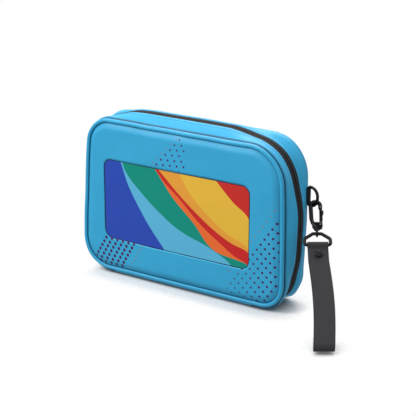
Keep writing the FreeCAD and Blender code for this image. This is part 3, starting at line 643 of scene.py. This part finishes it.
def window_border(across, up):
    """1 on the thin dark border along the window's edge."""
    corner = WINDOW_RADIUS / MM - PRINT_BORDER
    width = WINDOW_HALF / MM - PRINT_BORDER - (across - WINDOW_MIDDLE / MM).size()
    height = WINDOW_RISE / MM - PRINT_BORDER - (up - (WINDOW_CENTRE - CASE_MIDDLE) / MM).size()
    reach = distance((corner - width).larger(0.0), (corner - height).larger(0.0))
    return (corner - reach).step(0.15, -0.15)


def print_look():
    """The printed sheet in the window: colour bands that sweep down to the right, in a thin dark border."""
    look = Look("printed_sheet")
    across, up = panel_place(look)
    share = reach_share(up)
    colour = PRINT_BANDS[0][0]
    for tone, edge in PRINT_BANDS[1:]:
        past = across - band_edge(look, share, edge)
        colour = look.mix(past.step(-0.25, 0.25), colour, tone)
    colour = look.mix(window_border(across, up), colour, BORDER_INK)
    colour = look.mix(look.noise(1500.0, 2.0).step(0.3, 0.8, 0.0, 0.07), colour, GRAIN_INK)
    normal = look.bump(look.noise(18.0, 2.0), 0.0012, look.bump(look.noise(1400.0, 2.0), 0.00004))
    return look.finish(Base_Color=colour, Roughness=look.noise(30.0, 4.0).step(0.3, 0.7, 0.33, 0.45),
                       Specular_IOR_Level=0.25, Normal=normal, Coat_Weight=0.04, Coat_Roughness=0.3)


PICOT = 2.4 * MM


def cloth(name, colour, pitch, depth, rough=0.8, shade=0.45, twill=False, bends=False, selvedge=0.0):
    """Woven cloth. Its threads follow the weave attribute, which holds distances along and across the piece.
    A band of webbing has darker looped edges near the selvedge distance from its middle."""
    look = Look(name, bends)
    weave = look.split(look.attribute("weave"))
    along = weave[0] * (math.pi / pitch)
    across = weave[1] * (math.pi / pitch)
    if twill:
        along = along + across
    over = (along.sine() * across.sine()).step(-0.2, 0.2)
    height = along.sine().size() * over + across.sine().size() * (1.0 - over)
    shaded = scaled(colour, shade)
    # Painted shade in the weave: the colour darkens where the threads dip, following the bump's height.
    tone = look.mix(height.step(0.1, 0.9), shaded, colour)
    tone = look.mix(look.noise(40.0).step(0.3, 0.8, 0.0, 0.3), tone, shaded)
    if selvedge:
        edge = weave[1].size().step(selvedge - 0.0012, selvedge - 0.0009)
        loops = (weave[0] * (2 * math.pi / PICOT)).sine().step(-0.1, 0.5)
        tone = look.mix(edge * (loops * 0.55 + 0.4), tone, scaled(colour, 0.15))
    normal = look.bump(look.noise(3000.0), depth * 0.5, look.bump(height, depth))
    return look.finish(Base_Color=tone, Roughness=rough, Specular_IOR_Level=0.25, Normal=normal,
                       Sheen_Weight=0.12, Sheen_Roughness=0.4)


def plastic(name, colour, rough, wear=0.12):
    """Moulded plastic with a fine texture and paler worn edges."""
    look = Look(name)
    bevel = look.out("Bevel", 0, {"samples": 4}, Radius=0.0006)
    edge = look.add("VectorMath", {"operation": "DOT_PRODUCT"})
    look.put(edge.inputs[0], bevel)
    look.put(edge.inputs[1], look.out("NewGeometry", "Normal"))
    worn = Wire(look, edge.outputs["Value"]).step(0.995, 0.9, 0.0, wear)
    worn = worn * look.noise(500.0).step(0.35, 0.65)
    pale = scaled(colour, 4, 0.05)
    tone = look.mix(look.noise(90.0).step(0.3, 0.7, 0.0, 0.2), colour, pale)
    return look.finish(Base_Color=look.mix(worn, tone, pale), Specular_IOR_Level=0.5,
                       Roughness=look.noise(300.0, 4.0).step(0.3, 0.7, rough - 0.08, rough + 0.08),
                       Normal=look.bump(look.noise(2500.0, 2.0), 0.00003, bevel))


def metal(name, colour, rough, grain=(900.0, 900.0, 900.0)):
    """Metal with fine scratches; a black finish is a coat over it."""
    look = Look(name)
    bevel = look.out("Bevel", 0, {"samples": 4}, Radius=0.0004)
    scratches = look.noise(1.0, 4.0, 0.7, look.out("Mapping", 0, Vector=look.place, Scale=grain))
    tone = look.mix(look.noise(120.0, 4.0).step(0.35, 0.7, 0.0, 0.5), colour, scaled(colour, 0.6))
    return look.finish(Base_Color=tone, Roughness=scratches.step(0.35, 0.65, rough - 0.07, rough + 0.1),
                       Metallic=0.85, Normal=look.bump(scratches, 0.000012, bevel))


def foam():
    """Closed-cell foam board."""
    look = Look("foam")
    cells = look.out("TexVoronoi", "Distance", Vector=look.place, Scale=900.0)
    # Painted shade in the cells: the colour darkens where the cells' bump dips.
    tone = look.mix(cells.step(0.1, 0.6), srgb(70, 70, 74), srgb(104, 104, 108))
    return look.finish(Base_Color=tone, Roughness=0.9, Normal=look.bump(cells, 0.0003))


# ---------------------------------------- pieces of the shell

SIDES = (("front", FRONT), ("back", BACK))
GUSSET_SIDE = [(-2.9, 22.7), (-1.5, 22.2), (0.2, 21.4), (1.7, 19.6), (3.6, 16.0), (5.2, 11.0), (5.8, 8.4),
               (5.4, 7.3), (4.6, 7.0), (3.9, 8.0), (3.5, 10.5), (2.2, 15.5), (0.0, 19.6), (-2.0, 21.4),
               (-3.4, 22.2)]
GUSSET_BOTTOM = [(-2.9, 22.7), (-1.2, 22.6), (0.6, 22.9), (2.4, 22.6), (3.6, 20.6), (3.9, 14.0), (3.95, 9.0),
                 (3.7, 7.5), (3.1, 7.0), (2.6, 8.0), (2.5, 10.5), (2.4, 18.0), (1.0, 20.6), (-1.6, 21.6),
                 (-3.4, 22.2)]
SKIN = 1.3 * MM


def set_seam_shade(made, values):
    """Stores how near each point is to a seam, for the painted shade in its groove."""
    attribute = made.data.attributes.new("seam", "FLOAT", "POINT")
    attribute.data.foreach_set("value", np.asarray(values, np.float32).ravel())


def set_vectors(made, name, values):
    """Stores a vector at every point of a mesh under a name."""
    attribute = made.data.attributes.new(name, "FLOAT_VECTOR", "POINT")
    attribute.data.foreach_set("vector", np.asarray(values, np.float32).ravel())


def path_lengths(points):
    steps = np.linalg.norm(np.diff(points, axis=0), axis=1)
    return np.concatenate([[0], np.cumsum(steps)])


def set_weave(made, grid):
    """Stores distances along and across a grid of sections, for a woven look."""
    along = path_lengths(grid[:, grid.shape[1] // 2])
    across = path_lengths(grid[len(grid) // 2])
    set_vectors(made, "weave", points_at(along[:, None], across, 0.0))


def belong(made, body, slot, *nodes):
    """Puts a finished piece on its body in place of the CAD nodes it stands for."""
    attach(made, body)
    if nodes:
        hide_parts(*nodes)
    return made


def make_gusset(label, side):
    """The wall of one half, from the piping's seam to the edge folded under beside the zip."""
    grid = shell_points(zip_run(), smooth_profile(GUSSET_SIDE, 52), smooth_profile(GUSSET_BOTTOM, 52), side)
    made = tube_grid(label + "_wall", grid, LEATHER)
    # Painted shade in the groove where the wall meets the piping.
    set_seam_shade(made, ease(np.abs(grid[..., 1]), 20.0 * MM, 21.8 * MM))
    return belong(made, label + "_half", "blue_leatherette", label + "_gusset")


def make_piping(label, side):
    """The covered cord round the panel's edge."""
    ring = circle_points(PIPING_RADIUS, 24)
    profile = ring + (-PIPING_RADIUS, EDGE_DEPTH)
    made = tube_grid(label + "_cord", shell_points(case_outline(), profile, profile, side), PIPING_LOOK, True)
    # Painted shade on the cord's back and inner side, where it sinks into the seam.
    behind = ease(-ring[:, 1], 0.55 * PIPING_RADIUS, 0.95 * PIPING_RADIUS)
    within = ease(-ring[:, 0], 0.7 * PIPING_RADIUS, PIPING_RADIUS)
    set_seam_shade(made, np.broadcast_to(np.maximum(behind, within), (len(case_outline()[0]), len(ring))))
    return belong(made, label + "_half", "blue_piping", label + "_piping")


PANEL_EDGE = 4.8 * MM
PANEL_START = EDGE_DEPTH - 0.4 * MM
PANEL_SWELL = 4.4 * MM
PANEL_SHOULDER = 10 * MM
PANEL_CROWN = 1.2 * MM


def panel_depth(x, z):
    """How far the panel's face stands from the parting plane: a soft shoulder inside the piping, then a low
    crown."""
    climb = np.clip((case_inset(x, z) - PANEL_EDGE) / PANEL_SHOULDER, 0, 1)
    across = np.clip(x / CASE_HALF, -1, 1)
    rise = np.clip((z - CASE_MIDDLE) / CASE_RISE, -1, 1)
    crown = PANEL_CROWN * (1 - across**2) * (1 - rise**2)
    return PANEL_START + PANEL_SWELL * np.sin(climb * math.pi / 2) + crown


def ring_between(outer, inner, shares):
    """The x and z of points on straight lines from an outer outline to a matching inner one."""
    outer, inner = outer[0].T[..., None], inner[0].T[..., None]
    return outer + (inner - outer) * shares


SLIT = 0.02 * MM


def close_slit(made, columns, inner_edge):
    """Joins the two sides of the slit in the middle of a sheet, made of rings with the given number of points
    across the section. inner_edge lists the columns of faces along the slit, which go."""
    mesh = bmesh.new()
    mesh.from_mesh(made.data)
    along_slit = [face for face in mesh.faces if face.index % columns in inner_edge]
    bmesh.ops.delete(mesh, geom=along_slit, context="FACES_ONLY")
    bmesh.ops.remove_doubles(mesh, verts=mesh.verts, dist=2.5 * SLIT)
    mesh.to_mesh(made.data)
    mesh.free()


def middle_slit():
    """A closed slit along the middle of the case, where a sheet made of rings comes together."""
    reach = CASE_HALF - 40 * MM
    return rounded_outline(-reach, reach, CASE_MIDDLE - SLIT, CASE_MIDDLE + SLIT, [SLIT / 2] * 4)


def make_panel(label, side, inner):
    """A face of the case: coated cloth over foam, from the piping to the given inner outline."""
    shares = (np.arange(31) / 30) ** 1.7
    x, z = ring_between(case_outline(PANEL_EDGE), inner, shares)
    face = points_at(x, -side * panel_depth(x, z), z)
    lip = face[:, -1:] + (0, side * 0.5 * MM, 0)
    inner_face = face[:, ::-1] + (0, side * SKIN, 0)
    sheet = np.concatenate([face, lip, inner_face], 1)
    made = tube_grid(label + "_face", relax(sheet), PANEL_LOOKS[label], True)
    # Painted shade at the panel's edge, in the groove beside the piping.
    inset = case_inset(sheet[..., 0], sheet[..., 2])
    set_seam_shade(made, ease(inset, PANEL_EDGE + 1.6 * MM, PANEL_EDGE + 0.5 * MM))
    if label == "back":
        close_slit(made, sheet.shape[1], (face.shape[1] - 1, face.shape[1]))
    return belong(made, label + "_half", "blue_leatherette", label + "_panel")


def slab(name, xs, zs, depth, thickness, side, material):
    """A thin sheet over a grid of x and z, its face at depth(x, z) from the parting plane."""
    x, z = np.meshgrid(xs, zs)
    outside = points_at(x, -side * depth(x, z), z)
    sheet = np.stack([outside, outside + (0, side * thickness, 0)])
    rows, columns = x.shape
    faces = grid_faces(rows, columns) + grid_faces(rows, columns, start=rows * columns)
    index = np.arange(rows * columns).reshape(rows, columns)
    rim = np.concatenate([index[0, :-1], index[:-1, -1], index[-1, :0:-1], index[:0:-1, 0]]).tolist()
    for a, b in zip(rim, rim[1:] + rim[:1]):
        faces.append((a, b, b + rows * columns, a + rows * columns))
    return face_outwards(mesh_object(name, relax(sheet), faces, material))


def make_print():
    """The printed sheet behind the window in the front panel."""
    hidden = 3 * MM
    xs = np.linspace(WINDOW_LOW.x - hidden, WINDOW_HIGH.x + hidden, 110)
    zs = np.linspace(WINDOW_LOW.z - hidden, WINDOW_HIGH.z + hidden, 56)

    def depth(x, z):
        return panel_depth(x, z) - 0.45 * MM

    made = slab("window_sheet", xs, zs, depth, 0.5 * MM, FRONT, PRINT_LOOK)
    return belong(made, "front_half", "printed_sheet", "window_print")


STRIP_PROFILE = [(-22.7, 6.9), (-22.6, 5.2), (-22.9, 3.4), (-22.6, 1.6), (-20.6, 0.4), (-14.0, 0.1),
                 (-9.0, 0.05), (-3.0, 0.05), (0.0, 0.05)]


def make_hinge_strip():
    """The strip under the case. It joins the two halves; the real strip folds along its middle as the case
    opens, and this one is built at rest.
    """
    mirrored = [(-y, z) for y, z in reversed(STRIP_PROFILE[:-1])]
    outside = smooth_profile(STRIP_PROFILE + mirrored, 90)
    section = thick_section(outside, SKIN)
    inner_end = STRIP_HALF - 0.3 * MM
    xs = np.concatenate([[-STRIP_HALF], np.linspace(-inner_end, inner_end, 120), [STRIP_HALF]])
    grid = points_at(xs[:, None], *section.T)
    grid[[0, -1], :, 2] += 0.25 * MM
    grid = relax(grid)
    made = tube_grid("hinge_strip", grid, STRIP_LOOK)
    set_vectors(made, "rest", grid)
    # Painted shade at the strip's top, in the groove under the piping.
    set_seam_shade(made, ease(grid[..., 2], 4.6 * MM, 6.2 * MM))
    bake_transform(made)
    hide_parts("bottom_strip_back", "bottom_strip_front")
    return made


STITCH_BEND = np.array([0.0, 0.16, 0.5, 0.84, 1.0])
STITCH_HEIGHT = np.array([-0.8, 0.35, 0.7, 0.35, -0.8])
STITCH_GIRTH = np.array([0.6, 1.0, 1.0, 1.0, 0.6])


def follow(at, lengths, line):
    """The points of a line at the given distances along it."""
    return np.stack([np.interp(at, lengths, line[:, axis]) for axis in range(line.shape[1])], 1)


def stitch_row(name, line, outward, pitch, thread, material):
    """A row of stitches along a line of points: each a short thread whose ends dip into the cloth."""
    lengths = path_lengths(line)
    ring = circle_points(1.0, 6)
    points, faces = [], []
    for k in range(int(lengths[-1] / pitch)):
        at = (k + 0.12 + 0.76 * STITCH_BEND) * pitch
        centre = follow(at, lengths, line)
        up = unit(follow(at, lengths, outward))
        side = np.cross(unit(centre[-1] - centre[0]), up)
        centre = centre + up * (STITCH_HEIGHT * thread)[:, None]
        start = len(points) * len(ring)
        points += list(round_sections(centre, side, up, ring, thread * STITCH_GIRTH))
        faces += grid_faces(len(at), len(ring), False, True, start)
        faces += [tuple(range(start, start + 6)), tuple(range(start + 24, start + 30))]
    return face_outwards(mesh_object(name, np.array(points), faces, material))


def make_wall_stitches(label, side):
    """The row of stitches that holds the zip's tape to the wall."""
    run = zip_run()
    line = shell_points(run, [(5.2 * MM, 11.0 * MM)], [(3.95 * MM, 11.0 * MM)], side)[:, 0]
    outward = points_at(run[1][:, 0], -side * 0.25, run[1][:, 1])
    made = stitch_row(label + "_wall_stitches", line, outward, 3.4 * MM, 0.24 * MM, THREAD_BLUE)
    return belong(made, label + "_half", "blue_leatherette")


# ---------------------------------------- the zip


def make_tape(label, side):
    """The zip's woven tape on one side, a little proud at its inner edge where the coil is sewn on."""
    outside = smooth_profile([(4.5, 10.0), (5.0, 6.5), (5.0, 3.6), (5.3, 2.2), (5.2, 1.0), (4.8, 0.35)], 16)
    below = smooth_profile([(3.1, 10.0), (3.3, 6.5), (3.3, 3.6), (3.5, 2.2), (3.4, 1.0), (3.1, 0.35)], 16)
    thick = 0.7 * MM
    grid = shell_points(zip_run(), thick_section(outside, -thick), thick_section(below, -thick), side)
    made = tube_grid(label + "_tape", grid, TAPE_LOOK)
    set_weave(made, grid)
    return belong(made, label + "_half", "zip_tape", label + "_zip_tape")


def make_coil(label, side):
    """The nylon coil along the tape's inner edge: a wire that makes one turn for each tooth."""
    run = zip_run()
    centre = shell_points(run, [(3.3 * MM, 1.95 * MM)], [(1.6 * MM, 1.95 * MM)], side)[:, 0]
    lengths = path_lengths(centre)
    tooth = 1.6 * MM
    per_turn = 10
    count = int(lengths[-1] / tooth * per_turn)
    at = np.linspace(0, lengths[-1], count)
    angle = np.arange(count) * 2 * math.pi / per_turn + (math.pi if side == BACK else 0)
    line = follow(at, lengths, centre)
    line[:, ::2] += follow(at, lengths, run[1]) * (np.sin(angle) * 0.85 * MM)[:, None]
    line[:, 1] += np.cos(angle) * 1.15 * MM
    made = tube_grid(label + "_coil", wire_along(line, 0.33 * MM, 6), COIL_LOOK)
    return belong(made, label + "_half", "zip_coil", label + "_zip_coil")


# ---------------------------------------- inside the case


def make_lining(label, side):
    """The cloth tray inside one half: a wall that falls to a floor over the foam board."""
    wall = [(2.0, 9.6), (1.7, 11.0), (0.8, 15.0), (-0.6, 18.4), (-2.4, 20.6), (-5.0, 21.4)]
    bottom = [(1.0, 9.6), (1.0, 11.0), (0.7, 15.0), (-0.4, 18.4), (-2.4, 20.6), (-5.0, 21.4)]
    outline = case_outline()
    near = shell_points(outline, smooth_profile(wall, 20), smooth_profile(bottom, 20), side)
    shares = np.linspace(0, 1, 26)[1:]
    x, z = ring_between(case_outline(5 * MM), middle_slit(), shares)
    face = np.concatenate([near, relax(points_at(x, -side * 21.5 * MM, z))], 1)
    behind = face[:, ::-1] - (0, side * 0.6 * MM, 0)
    grid = np.concatenate([face, behind], 1)
    made = tube_grid(label + "_tray", grid, LINING_LOOK, True)
    x, y, z = np.moveaxis(grid, -1, 0)
    set_vectors(made, "weave", points_at(x + y, z + y, y))
    close_slit(made, grid.shape[1], (face.shape[1] - 1,))
    return belong(made, label + "_half", "lining_cloth", label + "_lining")


def make_net():
    """The mesh pocket: a hexagonal net, drawn back to the lining at its sides and foot."""
    low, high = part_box("mesh_pocket")
    cell = 4.6 * MM
    column = cell * math.sqrt(3) / 2
    columns = int((high.x - low.x) / column)
    rows = int((high.z - low.z) / (cell * 0.75))
    points, index, faces = [], {}, []

    def corner(x, z):
        key = (round(x / (0.2 * MM)), round(z / (0.2 * MM)))
        if key not in index:
            index[key] = len(points)
            edge = min(x - low.x, high.x - x, z - low.z)
            stand = float(ease(edge, 0, 14 * MM))
            points.append((x, low.y + 1.0 * MM + (high.y - low.y - 1.6 * MM) * stand, z))
        return index[key]

    for r in range(rows):
        for c in range(columns - 1):
            x = low.x + (c + 0.5 + 0.5 * (r % 2)) * column
            z = low.z + (r + 0.5) * cell * 0.75
            turns = np.radians(np.arange(6) * 60)
            ring = [(x + cell / 2 * math.sin(turn), z + cell / 2 * math.cos(turn)) for turn in turns]
            if all(low.x <= px <= high.x and low.z <= pz <= high.z for px, pz in ring):
                faces.append(tuple(corner(px, pz) for px, pz in ring))
    made = mesh_object("pocket_net", np.array(points), faces, NET_LOOK)
    wires = made.modifiers.new("strands", "WIREFRAME")
    wires.thickness = 0.55 * MM
    wires.use_even_offset = False
    return belong(made, "front_half", "mesh", "mesh_pocket")


def band_section(half_width, thickness, across):
    """The section of a flat band with rounded edges: (along its width, along its thickness)."""
    edge = thickness * 0.45
    upper = [(share * (half_width - edge), thickness / 2) for share in np.linspace(-1, 1, across)]
    turns = np.radians((45, 90, 135))
    tip = [(half_width - edge + edge * math.sin(turn), thickness / 2 * math.cos(turn)) for turn in turns]
    return np.array(upper + tip + [(-u, -v) for u, v in upper + tip])


def ribbon(name, path, width_ways, half_width, thickness, material, closed=False, across=10, picots=0.0):
    """A flat band along a path: width_ways is the direction of its width, and picots the depth of the small
    loops along its edges."""
    width_ways = np.asarray(width_ways, float)
    out = unit(np.cross(headings(path, closed), width_ways))
    section = band_section(half_width, thickness, across)
    lengths = path_lengths(path)
    stretch = 1 + picots * np.sin(lengths * 2 * math.pi / PICOT) / half_width
    widths = section[None, :, :1] * stretch[:, None, None]
    grid = path[:, None] + width_ways * widths + out[:, None] * section[None, :, 1:]
    made = tube_grid(name, grid, material, closed)
    set_vectors(made, "weave", points_at(lengths[:, None], section[:, 0], 0.0))
    return made


def make_binding():
    """The elastic binding along the pocket's mouth, gathered a little."""
    low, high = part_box("pocket_binding")
    xs = np.linspace(low.x, high.x, 160)
    sag = 1.6 * MM * np.sin((xs - low.x) / (high.x - low.x) * math.pi)
    pucker = 0.25 * MM * np.sin(xs / (2.6 * MM))
    middle = (low.z + high.z) / 2
    path = points_at(xs, (low.y + high.y) / 2 + pucker, middle - sag)
    made = ribbon("pocket_edge", path, (0, 0, 1), (high.z - low.z) / 2, 1.6 * MM, ELASTIC_LOOK)
    return belong(made, "front_half", "elastic", "pocket_binding")


def make_band(label, name):
    """An elastic band that holds the bat, sewn to the back lining at its top and foot."""
    low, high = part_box(label)
    root = high.y - 0.6 * MM
    front = low.y + 0.7 * MM
    control = [(root, low.z + 1 * MM), (root - 8 * MM, low.z + 1.6 * MM), (front + 7 * MM, low.z + 5 * MM),
               (front + 1.2 * MM, low.z + 13 * MM), (front, low.z + 34 * MM)]
    control += [(y, low.z + high.z - z) for y, z in reversed(control)]
    profile = smooth_profile(np.array(control) / MM, 150)
    path = points_at((low.x + high.x) / 2, *profile.T)
    made = ribbon(name, path, (1, 0, 0), (high.x - low.x) / 2, 1.3 * MM, ELASTIC_LOOK, across=24)
    return belong(made, "back_half", "elastic", label)


# ---------------------------------------- side ring's tab and strap


def make_tab():
    """The tab folded round the side ring's bar: two layers of coated cloth sewn into the seam."""
    low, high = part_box("ring_tab")
    axis = JOINTS["ring_swing"]["pos_m"]
    reach = high.x - axis[0] - 0.4 * MM
    root = low.x - 1.5 * MM
    turn = np.radians(np.linspace(90, -90, 15))
    path = [(root, axis[1] + 0.9 * MM), (axis[0] - 3 * MM, axis[1] + reach * 0.85)]
    path += [(axis[0] + reach * math.cos(a), axis[1] + reach * math.sin(a)) for a in turn]
    path += [(axis[0] - 3 * MM, axis[1] - reach * 0.85), (root, axis[1] - 0.9 * MM)]
    curve = smooth_profile(np.array(path) / MM, 60)
    points = points_at(*curve.T, (low.z + high.z) / 2)
    made = ribbon("side_tab", points, (0, 0, 1), (high.z - low.z) / 2, 0.9 * MM, TAB_LOOK, across=8)
    return belong(made, "back_half", "webbing", "ring_tab")


def strap_width():
    """The direction of the strap's width."""
    return Vector(JOINTS["strap_bend"]["axis"]).normalized()


def on_chain(points):
    """Moves points in millimetres out of the strap's own frame, which has its origin where the hook rocks on
    the ring, X along the strap's width and Z up the strap."""
    up = Vector(JOINTS["eye_swivel"]["axis"]).normalized()
    wide = strap_width()
    basis = np.array([wide, up.cross(wide).normalized(), up])
    return np.asarray(points, float) * MM @ basis + np.array(JOINTS["hook_rock"]["pos_m"])


# The strap, in millimetres.
STRAP_BEND_Z = -74.0
STRAP_END_Z = -185.0
STRAP_SET = 3.0
RING_BAR_Z = -53.2
STRAP_WRAP = 2.9
STRAP_FRONT = [(-0.85, -58.5), (-0.85, -66.0), (-0.85, STRAP_BEND_Z), (-1.5, -88.0), (-2.7, -124.0),
               (-3.8, -158.0), (-4.3, -174.8), (-4.2, -180.3), (-2.6, -184.0)]


def strap_path():
    """The middle of the webbing in the strap's own plane (depth, height): down the face, under at the end, up
    the back and round the ring's bar."""
    turns = np.radians((115, 75, 38, 0, -38, -75, -115))
    over = [(STRAP_WRAP * math.sin(turn), RING_BAR_Z + STRAP_WRAP * math.cos(turn)) for turn in turns]
    back = [(-y, z) for y, z in reversed(STRAP_FRONT)]
    control = STRAP_FRONT + [(0.0, STRAP_END_Z)] + back + over
    closed = smooth_profile([control[-1]] + control + [control[0]], 560)
    first = path_lengths(np.array([control[-1], control[0]]) * MM)[1]
    return closed[path_lengths(closed) > first][:-1] / MM


def make_strap():
    """The wrist strap: a band of webbing doubled from the ring's bar to its round lower end."""
    flat = strap_path()
    drop = np.clip((STRAP_BEND_Z - flat[:, 1]) / (STRAP_BEND_Z - STRAP_END_Z), 0, 1)
    path = on_chain(points_at(STRAP_SET * np.sin(drop * math.pi), *flat.T))
    made = ribbon("wrist_strap", path, strap_width(), WEBBING_HALF, 1.5 * MM, WEBBING_LOOK, closed=True,
                  across=14, picots=0.22 * MM)
    set_vectors(made, "rest", [tuple(vertex.co) for vertex in made.data.vertices])
    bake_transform(made)
    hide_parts("strap_upper", "strap_lower")
    return made


# ---------------------------------------- the whole object

JOINTS = {joint["name"]: joint for joint in frame["joints"]}
WEBBING_HALF = 12.0 * MM
LEATHER = leather("leather")
PIPING_LOOK = leather("piping_leather", rough=0.44)
STRIP_LOOK = leather("strip_leather", bends=True)
PANEL_LOOKS = {"front": panel_leather(), "back": leather("back_leather")}
PRINT_LOOK = print_look()
TAPE_LOOK = cloth("tape_cloth", srgb(22, 21, 24), 0.0009, 0.00012, 0.85, 0.5, twill=True)
COIL_LOOK = plastic("coil_nylon", srgb(20, 20, 22), 0.5)
LINING_LOOK = cloth("lining_cloth", srgb(86, 90, 99), 0.0007, 0.00008, 0.85, 0.6)
NET_LOOK = cloth("net_cloth", srgb(36, 37, 42), 0.0006, 0.00006, 0.7, 0.6)
ELASTIC_LOOK = cloth("elastic_cloth", srgb(30, 30, 33), 0.0016, 0.0002, 0.8, 0.5)
WEBBING_LOOK = cloth("webbing_cloth", srgb(54, 54, 58), 0.0011, 0.00022, 0.62, 0.4, bends=True,
                     selvedge=WEBBING_HALF)
TAB_LOOK = cloth("tab_cloth", srgb(40, 40, 43), 0.0009, 0.00015, 0.7, 0.4)
THREAD_BLUE = leather("thread_blue", srgb(40, 150, 205), SHADE_BLUE, 0.6)
BLACK_METAL = metal("black_metal", srgb(44, 43, 46), 0.34)
STEEL = metal("steel", srgb(150, 150, 152), 0.3, (300.0, 300.0, 4000.0))
HARD_PLASTIC = plastic("hard_plastic", srgb(34, 33, 36), 0.38)
FOAM = foam()

for label, side in SIDES:
    make_gusset(label, side)
    make_piping(label, side)
    make_wall_stitches(label, side)
    make_tape(label, side)
    make_coil(label, side)
    make_lining(label, side)
window = rounded_outline(WINDOW_LOW.x, WINDOW_HIGH.x, WINDOW_LOW.z, WINDOW_HIGH.z, [WINDOW_RADIUS] * 4)
make_panel("front", FRONT, window)
make_panel("back", BACK, middle_slit())
make_print()
make_hinge_strip()
make_net()
make_binding()
make_band("blade_band", "blade_elastic")
make_band("handle_band", "handle_elastic")
make_tab()
make_strap()

# The CAD solids that are shown as they are: their look and slot. Some carry a coat of paint.
CARRIED = [
    (FOAM, "foam_board", ["front_board", "back_board"]),
    (HARD_PLASTIC, "zip_coil", ["zip_end_stops"]),
    (BLACK_METAL, "black_metal", ["zip_slider", "zip_pull", "side_ring", "hook_body", "hook_gate", "swivel",
                                  "strap_ring", "rivet_cap"]),
    (STEEL, "steel", ["gate_pin", "gate_spring", "rivet_base"]),
]
PAINT = {"side_ring": 0.3 * MM, "hook_body": 0.9 * MM, "hook_gate": 0.8 * MM, "strap_ring": 0.2 * MM}


def dress(name, material):
    """Gives a CAD solid its look, and its paint if it has any."""
    node = frame["nodes"][name]
    if name in PAINT:
        node.modifiers.new("joined_points", "WELD").merge_threshold = 0.01 * MM
        coat = node.modifiers.new("coat_of_paint", "DISPLACE")
        coat.mid_level = 0
        coat.strength = PAINT[name]
    node.data.materials.clear()
    node.data.materials.append(material)
    node.data.polygons.foreach_set("use_smooth", [True] * len(node.data.polygons))


for material, slot, names in CARRIED:
    for name in names:
        dress(name, material)

# ---------------------------------------- floor, light and camera

CENTRE = Vector((0, 0, CASE_MIDDLE))
FLOOR_DROP = FOOT_SAG + 0.3 * MM
FLOOR_REACH = 30.0
FLOOR_SEEN = 0.82
CONTACT_REACH = 32 * MM
# How dark the painted contact shadow gets where the case meets the floor.
PAINTED_CONTACT_SHADOW = 0.75
BELOW_REACH = 250 * MM
BLACK = (0, 0, 0, 1)
WHITE = (1, 1, 1, 1)


def make_floor():
    """A white floor as an overexposed studio shows it: it's drawn only close to what stands on it, where the
    contact shadows are, which are painted darker into its colour, and lets through whatever hangs below it
    when the case lies open across its edge."""
    look = Look("floor_white")
    grain = look.noise(3.0).step(0.3, 0.7, 0.98 * FLOOR_SEEN, FLOOR_SEEN)
    above = look.out("AmbientOcclusion", "AO", {"samples": 8}, Distance=CONTACT_REACH)
    # Painted contact shadow: the floor's colour darkens where ambient occlusion finds something close above.
    tone = grain * (1.0 - above.step(0.5, 0.15) * PAINTED_CONTACT_SHADOW)
    matte = look.add("BsdfDiffuse", Color=look.mix(tone, BLACK, WHITE))
    downward = look.out("CombineXYZ", 0, Z=-1.0)
    below = look.out("AmbientOcclusion", "AO", {"samples": 8}, Distance=BELOW_REACH, Normal=downward)
    close = above.step(0.98, 0.7) * below.step(0.95, 1.0)
    seen = look.out("LightPath", "Is Camera Ray") * (1.0 - look.out("NewGeometry", "Backfacing"))
    both = look.add("MixShader")
    look.put(both.inputs[0], close * seen)
    look.put(both.inputs[1], look.out("BsdfTransparent"))
    look.put(both.inputs[2], Wire(look, matte.outputs[0]))
    look.put(look.output.inputs[0], Wire(look, both.outputs[0]))
    reach = FLOOR_REACH
    corners = [(-reach, -reach, 0), (reach, -reach, 0), (reach, reach, 0), (-reach, reach, 0)]
    floor = mesh_object("floor", corners, [(0, 1, 2, 3)], look.material, False)
    floor.location.z = -FLOOR_DROP


def aim(name, data, place):
    """Puts a light or the camera in the scene, turned to the middle of the case."""
    made = bpy.data.objects.new(name, data)
    bpy.context.scene.collection.objects.link(made)
    made.location = place
    made.rotation_mode = "QUATERNION"
    made.rotation_quaternion = (Vector(place) - CENTRE).to_track_quat("Z", "Y")
    return made


def make_light(name, place, size, power):
    data = bpy.data.lights.new(name, "AREA")
    data.shape = "DISK"
    data.size = size
    data.energy = power
    aim(name, data, place)


SKY_LIGHT = 0.82
GROUND_LIGHT = 0.42
HORIZON = 0.15


def make_world():
    """An even white surround with less light from the ground. The camera sees it as plain white."""
    world = bpy.data.worlds.new("studio")
    world.use_nodes = True
    nodes = Nodes(world.node_tree)
    height = nodes.split(nodes.out("TexCoord", "Generated"))[2]
    light = nodes.out("MapRange", 0, Value=height, From_Min=-HORIZON, From_Max=HORIZON, To_Min=GROUND_LIGHT,
                      To_Max=SKY_LIGHT)
    seen = nodes.out("LightPath", "Is Camera Ray")
    strength = nodes.out("MapRange", 0, Value=seen, To_Min=light, To_Max=1.0)
    sky = world.node_tree.nodes["Background"]
    sky.inputs["Color"].default_value = WHITE
    nodes.put(sky.inputs["Strength"], strength)
    bpy.context.scene.world = world


CAMERA_TURN = math.radians(33.25)
CAMERA_TILT = math.radians(18.8)
CAMERA_DISTANCE = 1.6


def make_camera():
    """A long lens to the right of the front, looking down a little."""
    data = bpy.data.cameras.new("camera")
    data.sensor_width = 36
    data.lens = 112.1
    data.shift_x = 0.0373
    data.shift_y = -0.0106
    level = math.cos(CAMERA_TILT)
    away = Vector((math.sin(CAMERA_TURN) * level, -math.cos(CAMERA_TURN) * level, math.sin(CAMERA_TILT)))
    bpy.context.scene.camera = aim("camera", data, CENTRE + away * CAMERA_DISTANCE)


make_floor()
make_light("top_softbox", (-0.3, 0.8, 1.4), 1.3, 20)
make_light("front_softbox", (-0.7, -0.95, 1.2), 0.9, 16)
make_world()
make_camera()
bpy.context.scene.view_settings.view_transform = "Standard"
